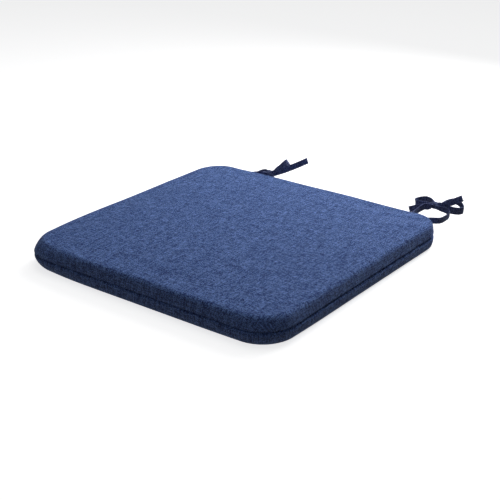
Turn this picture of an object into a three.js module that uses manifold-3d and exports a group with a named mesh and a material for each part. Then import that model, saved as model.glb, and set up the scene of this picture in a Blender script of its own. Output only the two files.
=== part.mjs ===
// Chair seat pad: a foam slab in a two-piece zipped cover, with two pairs of tape ties.
// Millimetres, +Z up. The origin is the middle of the underside, +Y points to the chair's back.

import * as THREE from "three";
import { mergeVertices } from "three/addons/utils/BufferGeometryUtils.js";
import Module from "manifold-3d";

const wasm = await Module();
wasm.setup();

// ---- driving dimensions ----
const WIDTH = 406;
const DEPTH = 404;
const THICKNESS = 38;
const FRONT_CORNER_R = 47;
const REAR_CORNER_R = 45;
const SEAM_Z = 18.5; // height of the seam that runs round the side
const CLOTH = 1.2; // cover fabric with its backing
const GAP = 0.3; // clearance between touching pieces
const TOP_ROLL = { inset: 10, drop: 8 }; // rounded top edge
const BASE_ROLL = { inset: 9, drop: 8 }; // rounded bottom edge
const WADDING = { thick: 2.6, inset: 17 };
const FOAM_ROLL = { inset: 10, drop: 8 };
const BASE_PANEL_INSET = 11; // the base panel's seam, in from the side

const ZIP_HALF = 138; // half of the zip's length, centred on the rear seam
const ZIP_SLIT = 5.4; // height of the opening that the chain shows in
const ROOT_SLIT = 2.6; // height of the opening that each tie comes out of
const SLIT_DEPTH = { inside: 4, outside: 5 }; // how far the seam's cutters reach each side of the rear face
const POCKET = { depth: 6, zipDepth: 5, rootMargin: 1, rootHalf: 2.5, zipMargin: 4, lift: 2, drop: 1 };
const COIL_OFFSET = 1.3; // middle of each coil above or below the seam
const COIL = 1.2; // coil height and depth
const ZIP_TAPE = { width: 6.5, thick: 0.6 }; // each half; its outer edge is sewn to the cover
const SLIDER_PLATE = { length: 10, height: 6.4, thick: 0.7, shoulder: 2 };
const SLIDER_NECK = { thick: 0.8, back: 1, front: 2, into: 0.4 }; // its ends stand in from the plates' ends
const ZIP_STOP = { inset: 3.5, length: 3, lap: 0.1, proud: 1.6, endLength: 4, endHeight: 4.8 };
const ZIP_TAPE_END = 3; // each tape runs past the zip's end
const COIL_END = 6; // and each coil stops short of it
const CARE_LABEL = { x: -30, width: 22, low: 5.5, high: 14.9, thick: 0.5 };
const PULL = { length: 17, width: 5.6, thick: 0.8, eye: 3.2, eyeLength: 3.7, bar: 0.9, nose: 4 };

const TAPE = { width: 9, thick: 1.4 }; // the folded and stitched tie tape
const TIE_ROOT_X = 152; // each tie is sewn into the rear seam this far from the middle
const TIE_ROOT = { length: 12, thick: 2, inside: 5.5, outside: 3.9 };
const KNOT = { x: 9, y: 13, z: 11, round: 2.6 };
const BOW_SWING = 12; // degrees that a tail or loop swings up or down at the knot
const TAIL_FRONT = -4.4; // a tail leaves the knot in front of its middle
const LOOP_FRONT = 0; // a loop's near strand leaves it just behind the tail

const STRAND_STEPS = 24;
const TAIL_STEPS = 10;
const LOOP_STEPS = 26;
const CORNER_STEPS = 9; // facets to a quarter turn of the pad's plan

const REAR_Y = DEPTH / 2;
const degrees = THREE.MathUtils.degToRad;

// ---- colours and finishes ----
const NAVY = { color: 0x35507f, roughness: 0.93, metalness: 0 };
const TIE_NAVY = { color: 0x1a2137, roughness: 0.9, metalness: 0 };
const FOAM = { color: 0xf2ecd6, roughness: 1, metalness: 0 };
const FIBRE = { color: 0xf5f5f2, roughness: 1, metalness: 0 };
const NONSLIP = { color: 0x20232b, roughness: 0.85, metalness: 0 };
const NYLON = { color: 0x1d2740, roughness: 0.45, metalness: 0 };
const ZINC = { color: 0x8d9096, roughness: 0.35, metalness: 1 };
const LABEL = { color: 0xf3f2ee, roughness: 0.8, metalness: 0 };

function toSolid(geometry) {
  const bare = geometry.clone();
  bare.deleteAttribute("normal");
  bare.deleteAttribute("uv");
  const merged = mergeVertices(bare, 1e-4);
  return new wasm.Manifold(new wasm.Mesh({
    numProp: 3,
    vertProperties: merged.attributes.position.array,
    triVerts: merged.index.array,
  }));
}

function toGeometry(solid) {
  const mesh = solid.getMesh();
  const geometry = new THREE.BufferGeometry();
  geometry.setAttribute("position", new THREE.BufferAttribute(mesh.vertProperties, 3));
  geometry.setIndex(new THREE.BufferAttribute(mesh.triVerts, 1));
  geometry.computeVertexNormals();
  return geometry;
}

function piece(name, geometry, finish) {
  const mesh = new THREE.Mesh(geometry, new THREE.MeshStandardMaterial(finish));
  mesh.name = name;
  return mesh;
}

function box(x0, x1, y0, y1, z0, z1) {
  const geometry = new THREE.BoxGeometry(x1 - x0, y1 - y0, z1 - z0);
  return geometry.translate((x0 + x1) / 2, (y0 + y1) / 2, (z0 + z1) / 2);
}

// The pad's plan, drawn in from its edge by inset, with rounded corners.
function padPlan(inset) {
  const x = WIDTH / 2 - inset;
  const y = DEPTH / 2 - inset;
  const front = FRONT_CORNER_R - inset;
  const rear = REAR_CORNER_R - inset;
  const shape = new THREE.Shape();
  shape.moveTo(-x + front, -y);
  shape.lineTo(x - front, -y);
  shape.absarc(x - front, -y + front, front, -Math.PI / 2, 0);
  shape.lineTo(x, y - rear);
  shape.absarc(x - rear, y - rear, rear, 0, Math.PI / 2);
  shape.lineTo(-x + rear, y);
  shape.absarc(-x + rear, y - rear, rear, Math.PI / 2, Math.PI);
  shape.lineTo(-x, -y + front);
  shape.absarc(-x + front, -y + front, front, Math.PI, Math.PI * 1.5);
  return shape;
}

// A slab on the pad's plan whose top and bottom edges are rounded alike.
function roundedSlab(inset, low, high, roll) {
  const geometry = new THREE.ExtrudeGeometry(padPlan(inset + roll.inset), {
    depth: high - low - 2 * roll.drop,
    bevelEnabled: true,
    bevelSize: roll.inset,
    bevelThickness: roll.drop,
    bevelSegments: 5,
    curveSegments: CORNER_STEPS,
  });
  return geometry.translate(0, 0, low + roll.drop);
}

function plainSlab(inset, low, high) {
  const geometry = new THREE.ExtrudeGeometry(padPlan(inset), {
    depth: high - low,
    bevelEnabled: false,
    curveSegments: CORNER_STEPS,
  });
  return geometry.translate(0, 0, low);
}

function cutAll(solid, cutters) {
  return cutters.reduce((left, cutter) => left.subtract(toSolid(cutter)), solid);
}

// A cutter through the rear seam, reach above and below it.
function slit(x0, x1, reach) {
  const { inside, outside } = SLIT_DEPTH;
  return box(x0, x1, REAR_Y - inside, REAR_Y + outside, SEAM_Z - reach, SEAM_Z + reach);
}

// Slots in the side seam that the zip and the two tie roots pass through.
function seamSlots() {
  const half = TIE_ROOT.length / 2 + GAP;
  const slots = [-1, 1].map((side) => {
    const x = side * TIE_ROOT_X;
    return slit(x - half, x + half, ROOT_SLIT / 2);
  });
  slots.push(slit(-ZIP_HALF, ZIP_HALF, ZIP_SLIT / 2));
  return slots;
}

// Room pressed into the foam by the zip and the sewn tie ends.
function foamPockets() {
  const half = TIE_ROOT.length / 2 + POCKET.rootMargin;
  const back = REAR_Y + SLIT_DEPTH.outside;
  const { rootHalf } = POCKET;
  const pockets = [-1, 1].map((side) => {
    const x = side * TIE_ROOT_X;
    return box(x - half, x + half, REAR_Y - POCKET.depth, back, SEAM_Z - rootHalf, SEAM_Z + rootHalf);
  });
  const end = ZIP_HALF + POCKET.zipMargin;
  const low = CARE_LABEL.low - POCKET.drop;
  const high = SEAM_Z + ZIP_TAPE.width + POCKET.lift;
  pockets.push(box(-end, end, REAR_Y - POCKET.zipDepth, back, low, high));
  return pockets;
}

function foamCore() {
  const skin = CLOTH + GAP;
  const top = THICKNESS - CLOTH - WADDING.thick - 2 * GAP;
  const slab = toSolid(roundedSlab(skin, skin, top, FOAM_ROLL));
  return piece("foam_core", toGeometry(cutAll(slab, foamPockets())), FOAM);
}

function waddingSheet() {
  const high = THICKNESS - CLOTH - GAP;
  const sheet = plainSlab(WADDING.inset, high - WADDING.thick, high);
  return piece("wadding_sheet", sheet, FIBRE);
}

function topPanel() {
  const low = -THICKNESS;
  const outer = toSolid(roundedSlab(0, low, THICKNESS, TOP_ROLL));
  const inside = { inset: TOP_ROLL.inset - CLOTH, drop: TOP_ROLL.drop - CLOTH };
  const inner = toSolid(roundedSlab(CLOTH, low + CLOTH, THICKNESS - CLOTH, inside));
  const below = box(-WIDTH, WIDTH, -DEPTH, DEPTH, low - 5, SEAM_Z + GAP / 2);
  const shell = cutAll(outer.subtract(inner), [below, ...seamSlots()]);
  return piece("top_panel", toGeometry(shell), NAVY);
}

function lowerSideBand() {
  const high = 2 * THICKNESS;
  const outer = toSolid(roundedSlab(0, 0, high, BASE_ROLL));
  const inside = { inset: BASE_ROLL.inset - CLOTH, drop: BASE_ROLL.drop - CLOTH };
  const inner = toSolid(roundedSlab(CLOTH, CLOTH, high - CLOTH, inside));
  const above = box(-WIDTH, WIDTH, -DEPTH, DEPTH, SEAM_Z - GAP / 2, high + 5);
  const window = plainSlab(BASE_PANEL_INSET, -5, 5);
  const band = cutAll(outer.subtract(inner), [above, window, ...seamSlots()]);
  return piece("lower_side_band", toGeometry(band), NAVY);
}

function bottomPanel() {
  return piece("bottom_panel", plainSlab(BASE_PANEL_INSET + GAP, 0, CLOTH), NONSLIP);
}

// A blank label inside the cover, sewn to the lower zip tape.
function careLabel() {
  const { x, width, low, high, thick } = CARE_LABEL;
  const back = REAR_Y - CLOTH - 2 * GAP - ZIP_TAPE.thick;
  const tab = box(x - width / 2, x + width / 2, back - thick, back, low, high);
  return piece("care_label", tab, LABEL);
}

// ---- the zip in the rear seam; side is 1 for the upper half and -1 for the lower ----
function zipTape(name, side) {
  const front = REAR_Y - CLOTH - GAP;
  const near = SEAM_Z + side * (COIL_OFFSET - COIL / 2);
  const far = near + side * ZIP_TAPE.width;
  const reach = ZIP_HALF + ZIP_TAPE_END;
  const strip = box(-reach, reach, front - ZIP_TAPE.thick, front, Math.min(near, far), Math.max(near, far));
  return piece(name, strip, NYLON);
}

function zipCoil(name, side) {
  const radius = COIL / 2;
  const length = 2 * (ZIP_HALF - COIL_END);
  const bar = new THREE.CylinderGeometry(radius, radius, length, 10).rotateZ(Math.PI / 2);
  const mesh = piece(name, bar, NYLON);
  mesh.position.set(0, REAR_Y - CLOTH + radius, SEAM_Z + side * COIL_OFFSET);
  return mesh;
}

// A slider plate is a shield: square at the pull end and narrower at the wedge end.
function sliderPlate(y0) {
  const { length, height, thick } = SLIDER_PLATE;
  const shape = new THREE.Shape();
  const shoulder = length / 2 - SLIDER_PLATE.shoulder;
  shape.moveTo(-length / 2, -height / 2);
  shape.lineTo(shoulder, -height / 2);
  shape.quadraticCurveTo(length / 2, -height / 2, length / 2, -height / 4);
  shape.lineTo(length / 2, height / 4);
  shape.quadraticCurveTo(length / 2, height / 2, shoulder, height / 2);
  shape.lineTo(-length / 2, height / 2);
  const plate = new THREE.ExtrudeGeometry(shape, { depth: thick, bevelEnabled: false, curveSegments: 5 });
  return plate.rotateX(Math.PI / 2).translate(0, y0 + thick, 0);
}

const SLIDER_X = ZIP_HALF - 14; // the closed zip's slider, short of its upper stops
const SLIDER_FRONT_Y = REAR_Y + 0.6;
const BAIL = { reach: 1.9, wire: 0.6, half: 2.6, sunk: 0.2 };

function zipSlider() {
  const half = SLIDER_PLATE.length / 2;
  const backY = REAR_Y - CLOTH - GAP - ZIP_TAPE.thick - GAP - SLIDER_PLATE.thick;
  const { thick, back, front, into } = SLIDER_NECK;
  const neck = box(-half + back, half - front, backY, SLIDER_FRONT_Y + into, -thick / 2, thick / 2);
  const top = SLIDER_FRONT_Y + SLIDER_PLATE.thick;
  const { reach, wire, half: span, sunk } = BAIL;
  const bridge = toSolid(box(-span, span, top - sunk, top + reach, -wire / 2, wire / 2));
  const under = toSolid(box(-span + wire, span - wire, top - 2 * sunk, top + reach - wire, -wire, wire));
  const body = toSolid(sliderPlate(backY))
    .add(toSolid(sliderPlate(SLIDER_FRONT_Y)))
    .add(toSolid(neck))
    .add(bridge.subtract(under));
  const mesh = piece("zip_slider", toGeometry(body), ZINC);
  mesh.position.set(SLIDER_X, 0, SEAM_Z);
  return mesh;
}

// The pull lies flat along the seam. Its end bar turns inside the slider's bail, which is where
// the mesh has its own zero.
function zipPull() {
  const { length, width, thick, eye, bar } = PULL;
  const shape = new THREE.Shape();
  shape.moveTo(bar / 2, -width / 2);
  shape.lineTo(bar / 2, width / 2);
  shape.lineTo(-length + PULL.nose, width / 2);
  shape.quadraticCurveTo(-length, width / 2, -length, 0);
  shape.quadraticCurveTo(-length, -width / 2, -length + PULL.nose, -width / 2);
  const hole = new THREE.Path();
  hole.moveTo(-bar / 2, -eye / 2);
  hole.lineTo(-bar / 2, eye / 2);
  hole.lineTo(-bar / 2 - PULL.eyeLength, eye / 2);
  hole.lineTo(-bar / 2 - PULL.eyeLength, -eye / 2);
  shape.holes.push(hole);
  const tab = new THREE.ExtrudeGeometry(shape, { depth: thick, bevelEnabled: false, curveSegments: 6 });
  const mesh = piece("zip_pull", tab.rotateX(Math.PI / 2), ZINC);
  const inBail = BAIL.half - BAIL.wire - GAP - bar / 2;
  const clearOfPlate = SLIDER_FRONT_Y + SLIDER_PLATE.thick + GAP;
  mesh.position.set(SLIDER_X - inBail, clearOfPlate + thick, SEAM_Z);
  return mesh;
}

function zipStop(name, x, side) {
  const y = REAR_Y - CLOTH;
  const z = SEAM_Z + side * COIL_OFFSET;
  const reach = ZIP_STOP.length / 2;
  const half = COIL / 2 + ZIP_STOP.lap;
  return piece(name, box(x - reach, x + reach, y, y + ZIP_STOP.proud, z - half, z + half), ZINC);
}

function zipEndStop() {
  const x = -ZIP_HALF + ZIP_STOP.inset;
  const y = REAR_Y - CLOTH;
  const { endLength, endHeight, proud } = ZIP_STOP;
  const low = SEAM_Z - endHeight / 2;
  const stop = box(x - endLength / 2, x + endLength / 2, y, y + proud, low, low + endHeight);
  return piece("zip_end_stop", stop, ZINC);
}

function buildZip() {
  const zip = new THREE.Group();
  const stopX = ZIP_HALF - ZIP_STOP.inset;
  zip.add(zipTape("zip_upper_tape", 1), zipTape("zip_lower_tape", -1));
  zip.add(zipCoil("zip_upper_coil", 1), zipCoil("zip_lower_coil", -1));
  zip.add(zipSlider(), zipPull(), zipEndStop());
  zip.add(zipStop("zip_upper_stop", stopX, 1), zipStop("zip_lower_stop", stopX, -1));
  return zip;
}

// ---- the ties ----
// A route that keeps a section's first axis upright, as a tape on edge stays.
class UprightRoute extends THREE.CatmullRomCurve3 {
  computeFrenetFrames(segments) {
    const frames = { tangents: [], normals: [], binormals: [] };
    for (let i = 0; i <= segments; i += 1) {
      const along = this.getTangentAt(i / segments).normalize();
      const across = new THREE.Vector3(0, 0, 1).addScaledVector(along, -along.z).normalize();
      frames.tangents.push(along);
      frames.normals.push(across);
      frames.binormals.push(new THREE.Vector3().crossVectors(along, across));
    }
    return frames;
  }
}

// A length of tape on edge along a route.
function tape(name, points, steps) {
  const section = new THREE.Shape();
  const across = TAPE.width / 2;
  const thick = TAPE.thick / 2;
  section.moveTo(-across, -thick);
  section.lineTo(across, -thick);
  section.lineTo(across, thick);
  section.lineTo(-across, thick);
  const route = new UprightRoute(points.map((p) => new THREE.Vector3(...p)));
  const geometry = new THREE.ExtrudeGeometry(section, { steps, extrudePath: route, bevelEnabled: false });
  return piece(name, geometry, TIE_NAVY);
}

function tieRoot(name, x) {
  const { length, thick, inside, outside } = TIE_ROOT;
  const root = box(x - length / 2, x + length / 2, REAR_Y - inside, REAR_Y + outside,
    SEAM_Z - thick / 2, SEAM_Z + thick / 2);
  return piece(name, root, TIE_NAVY);
}

function knot(name) {
  const { x, y, z, round } = KNOT;
  const shape = new THREE.Shape();
  const halfX = x / 2 - round;
  const halfY = y / 2 - round;
  shape.moveTo(-halfX, -halfY);
  shape.lineTo(halfX, -halfY);
  shape.lineTo(halfX, halfY);
  shape.lineTo(-halfX, halfY);
  const block = new THREE.ExtrudeGeometry(shape, {
    depth: z - 2 * round,
    bevelEnabled: true,
    bevelSize: round,
    bevelThickness: round,
    bevelSegments: 3,
  });
  return piece(name, block.translate(0, 0, round - z / 2), TIE_NAVY);
}

// A bow's tail or loop leaves the knot's side at side, 1 or -1, lifted by lift degrees. It starts
// far enough out that its corner clears the knot when it swings up or down.
function place(mesh, side, lift) {
  const arm = new THREE.Group();
  const steepest = degrees(Math.abs(lift) + BOW_SWING);
  const start = (GAP + (TAPE.width / 2) * Math.sin(steepest)) / Math.cos(steepest);
  arm.position.x = side * (KNOT.x / 2);
  arm.rotation.y = -side * degrees(lift);
  mesh.position.x = side * start;
  arm.add(mesh);
  return arm;
}

function tail(name, side, lift, length) {
  const reach = (share) => side * share * length;
  const points = [
    [reach(0), TAIL_FRONT, 0],
    [reach(0.3), TAIL_FRONT - 0.5, 0],
    [reach(0.65), TAIL_FRONT - 0.8, 0],
    [reach(1), TAIL_FRONT - 0.2, 0],
  ];
  return place(tape(name, points, TAIL_STEPS), side, lift);
}

// A loop goes out on the near strand, turns at its tip and comes back on the far strand.
function loop(name, side, lift, length, open) {
  const near = LOOP_FRONT;
  const points = [
    [0, near, 0],
    [0.35 * length, near - 0.4, 0],
    [0.75 * length, near + 0.1 * open, 0],
    [0.96 * length, near + 0.28 * open, 0],
    [0.99 * length, near + 0.55 * open, 0],
    [0.86 * length, near + 0.86 * open, 0],
    [0.55 * length, near + open, 0],
    [0.25 * length, near + 0.72 * open, 0],
    [0, near + 4.6, 0],
  ];
  const routed = points.map(([x, y, z]) => [side * x, y, z]);
  return place(tape(name, routed, LOOP_STEPS), side, lift);
}

// One tie: the sewn root, the two strands that go round the chair's post, and the bow.
function buildTie(tie) {
  const group = new THREE.Group();
  const name = (part) => `${tie.name}_${part}`;
  group.add(tieRoot(name("root"), tie.rootX));
  group.add(tape(name("inner_strand"), tie.inner, STRAND_STEPS));
  group.add(tape(name("outer_strand"), tie.outer, STRAND_STEPS));
  const bow = new THREE.Group();
  bow.position.set(...tie.knot);
  bow.add(knot(name("knot")));
  bow.add(tail(name("tail_right"), 1, tie.tailRight.lift, tie.tailRight.length));
  bow.add(tail(name("tail_left"), -1, tie.tailLeft.lift, tie.tailLeft.length));
  bow.add(loop(name("loop_right"), 1, tie.loopRight.lift, tie.loopRight.length, tie.loopRight.open));
  bow.add(loop(name("loop_left"), -1, tie.loopLeft.lift, tie.loopLeft.length, tie.loopLeft.open));
  group.add(bow);
  return group;
}

const LEFT_TIE = {
  name: "left_tie",
  rootX: -TIE_ROOT_X,
  knot: [-117, 234.5, 24],
  inner: [
    [-146, 207, 18.5], [-134, 207, 18.5], [-118, 207, 18.5], [-106, 207.2, 20],
    [-101.4, 210, 21], [-101, 217, 22], [-102.4, 223.4, 23], [-108, 226.6, 24], [-115.8, 226.8, 24],
  ],
  outer: [
    [-157, 207, 18.5], [-152, 207.2, 18.5], [-144.4, 209.8, 18.5], [-138.8, 215, 19.5],
    [-136, 221.5, 21], [-131, 225.8, 23], [-124, 226.8, 24], [-118.2, 226.8, 24],
  ],
  tailRight: { lift: 28.5, length: 78 },
  tailLeft: { lift: -16, length: 50 },
  loopRight: { lift: 43, length: 33, open: 9 },
  loopLeft: { lift: -24, length: 30, open: 12 },
};

const RIGHT_TIE = {
  name: "right_tie",
  rootX: TIE_ROOT_X,
  knot: [160, 257.5, 27],
  inner: [
    [150, 207, 18.5], [147, 207, 18.5], [143, 208.4, 18.5], [141, 212.4, 19], [140.6, 224, 20],
    [141.4, 240, 22], [145, 247.2, 25], [150, 249.6, 27], [157, 249.8, 27],
  ],
  outer: [
    [154, 207, 18.5], [161, 207, 19.4], [169, 207, 21.8], [178, 207.2, 24.4], [185.4, 208.2, 25.6],
    [190, 212.4, 25.8], [191.2, 222, 25.8], [190.6, 234, 26], [187, 243.6, 26.4], [179, 248.8, 27],
    [170, 249.8, 27], [162.6, 249.8, 27],
  ],
  tailRight: { lift: 31, length: 43 },
  tailLeft: { lift: -20, length: 38 },
  loopRight: { lift: -3, length: 32.5, open: 17 },
  loopLeft: { lift: -9, length: 34, open: 15 },
};

function buildPad() {
  const pad = new THREE.Group();
  pad.add(foamCore(), waddingSheet(), topPanel(), lowerSideBand(), bottomPanel(), careLabel());
  return pad;
}

const seatPad = new THREE.Group();
seatPad.add(buildPad(), buildZip(), buildTie(LEFT_TIE), buildTie(RIGHT_TIE));

export default seatPad;
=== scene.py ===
"""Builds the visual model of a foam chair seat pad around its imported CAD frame."""

import logging
import math
from dataclasses import dataclass, field
from enum import Enum

import bmesh
import bpy
import numpy as np
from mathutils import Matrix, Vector, noise
from mathutils.kdtree import KDTree


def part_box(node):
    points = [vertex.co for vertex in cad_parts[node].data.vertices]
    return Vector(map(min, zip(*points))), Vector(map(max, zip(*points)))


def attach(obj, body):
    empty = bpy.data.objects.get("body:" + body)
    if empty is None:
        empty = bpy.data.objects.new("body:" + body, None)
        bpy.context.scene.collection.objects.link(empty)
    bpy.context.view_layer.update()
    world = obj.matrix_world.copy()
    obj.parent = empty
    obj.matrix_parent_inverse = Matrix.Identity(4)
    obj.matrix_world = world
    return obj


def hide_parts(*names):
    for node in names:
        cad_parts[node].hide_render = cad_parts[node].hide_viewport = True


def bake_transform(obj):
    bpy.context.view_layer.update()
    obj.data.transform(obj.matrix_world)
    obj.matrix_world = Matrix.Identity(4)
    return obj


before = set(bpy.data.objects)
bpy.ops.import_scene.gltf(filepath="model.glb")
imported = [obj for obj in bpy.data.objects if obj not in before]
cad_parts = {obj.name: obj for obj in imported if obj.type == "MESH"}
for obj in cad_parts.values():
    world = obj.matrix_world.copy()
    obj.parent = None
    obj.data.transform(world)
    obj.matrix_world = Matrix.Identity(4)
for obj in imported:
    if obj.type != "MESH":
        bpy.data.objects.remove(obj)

MM = 0.001
CLOTH_MAP = "cloth_at"
log = logging.getLogger("seat_pad")


# ---------------------------------------------------------------- material graphs


class Graph:
    """A material's node tree, with short calls that add and join nodes."""

    def __init__(self, name: str) -> None:
        """Starts a material whose shader is one Principled BSDF.

        Args:
            name: the material's name.
        """
        self.material = bpy.data.materials.new(name)
        self.material.use_nodes = True
        self.tree = self.material.node_tree
        self.shader = self.tree.nodes["Principled BSDF"]

    def node(self, kind: str, **settings: object) -> bpy.types.Node:
        """Adds a node.

        Args:
            kind: the node's type, without the leading ShaderNode.
            settings: attributes to set on it.

        Returns:
            The new node.
        """
        made = self.tree.nodes.new("ShaderNode" + kind)
        for key, value in settings.items():
            setattr(made, key, value)
        return made

    def feed(self, socket: bpy.types.NodeSocket, value: object) -> None:
        """Links an output to a socket, or sets the socket to a plain value.

        Args:
            socket: the input to fill.
            value: an output socket, a number or a tuple.
        """
        if isinstance(value, bpy.types.NodeSocket):
            self.tree.links.new(value, socket)
        else:
            socket.default_value = value

    def math(self, kind: str, *values: object) -> bpy.types.NodeSocket:
        """Adds a Math node.

        Args:
            kind: its operation.
            values: what goes into its inputs.

        Returns:
            The node's output.
        """
        made = self.node("Math", operation=kind)
        for socket, value in zip(made.inputs, values):
            self.feed(socket, value)
        return made.outputs[0]

    def cloth(self, size_x: float, size_y: float, shift: float = 0.0) -> bpy.types.NodeSocket:
        """The cloth's own flat coordinates, counted in cells of a given size.

        Args:
            size_x: a cell's size along the cloth's first direction, in metres.
            size_y: the same along its second direction.
            shift: moves the pattern, in cells, so that two noises differ.

        Returns:
            A vector output.
        """
        flat = self.node("Attribute", attribute_name=CLOTH_MAP).outputs["Vector"]
        scaled = self.node("Mapping")
        self.feed(scaled.inputs["Vector"], flat)
        self.feed(scaled.inputs["Scale"], (1 / size_x, 1 / size_y, 1.0))
        self.feed(scaled.inputs["Location"], (shift, shift * 0.37, shift * 0.11))
        return scaled.outputs[0]

    def solid(self, size: float) -> bpy.types.NodeSocket:
        """Object coordinates counted in cells of a given size, in metres."""
        scaled = self.node("Mapping")
        self.feed(scaled.inputs["Vector"], self.node("TexCoord").outputs["Object"])
        self.feed(scaled.inputs["Scale"], (1 / size,) * 3)
        return scaled.outputs[0]

    def noise(self, at: bpy.types.NodeSocket, detail: float = 2.0,
              rough: float = 0.5) -> bpy.types.NodeSocket:
        """Noise with one blob a cell.

        Args:
            at: the coordinates.
            detail: octaves of finer noise.
            rough: how strong each finer octave is.

        Returns:
            The noise's value, 0 to 1.
        """
        made = self.node("TexNoise")
        self.feed(made.inputs["Vector"], at)
        self.feed(made.inputs["Scale"], 1.0)
        self.feed(made.inputs["Detail"], detail)
        self.feed(made.inputs["Roughness"], rough)
        return made.outputs["Fac"]

    def split(self, vector: bpy.types.NodeSocket) -> bpy.types.NodeOutputs:
        """The X, Y and Z outputs of a vector."""
        made = self.node("SeparateXYZ")
        self.feed(made.inputs[0], vector)
        return made.outputs

    def ramp(self, value: bpy.types.NodeSocket, stops: list[tuple[float, tuple]]) -> bpy.types.NodeSocket:
        """Turns a value into a colour.

        Args:
            value: what drives the ramp.
            stops: (place, linear RGB) from low to high.

        Returns:
            The colour output.
        """
        made = self.node("ValToRGB")
        self.feed(made.inputs[0], value)
        marks = made.color_ramp.elements
        while len(marks) < len(stops):
            marks.new(0.5)
        for mark, (place, colour) in zip(marks, stops):
            mark.position = place
            mark.color = (*colour, 1.0)
        return made.outputs[0]

    def bump(self, height: bpy.types.NodeSocket, depth: float) -> None:
        """Feeds the shader's normal from a height.

        Args:
            height: 0 to 1.
            depth: what a height of 1 stands for, in metres.
        """
        made = self.node("Bump")
        self.feed(made.inputs["Height"], height)
        self.feed(made.inputs["Distance"], depth)
        self.feed(self.shader.inputs["Normal"], made.outputs[0])

    def set(self, **values: object) -> None:
        """Fills the shader's inputs; an underscore in a name stands for a space."""
        for key, value in values.items():
            self.feed(self.shader.inputs[key.replace("_", " ")], value)


def rgb(red: int, green: int, blue: int) -> tuple[float, float, float]:
    """Linear colour from 0-255 display values.

    Args:
        red: display red.
        green: display green.
        blue: display blue.

    Returns:
        Linear red, green and blue.
    """
    def linear(value: float) -> float:
        """One channel."""
        share = value / 255
        return share / 12.92 if share <= 0.04045 else ((share + 0.055) / 1.055) ** 2.4

    return tuple(linear(value) for value in (red, green, blue))


def shaded(colour: tuple[float, ...], share: float) -> tuple[float, ...]:
    """A colour made darker or lighter."""
    return tuple(share * channel for channel in colour)


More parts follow.
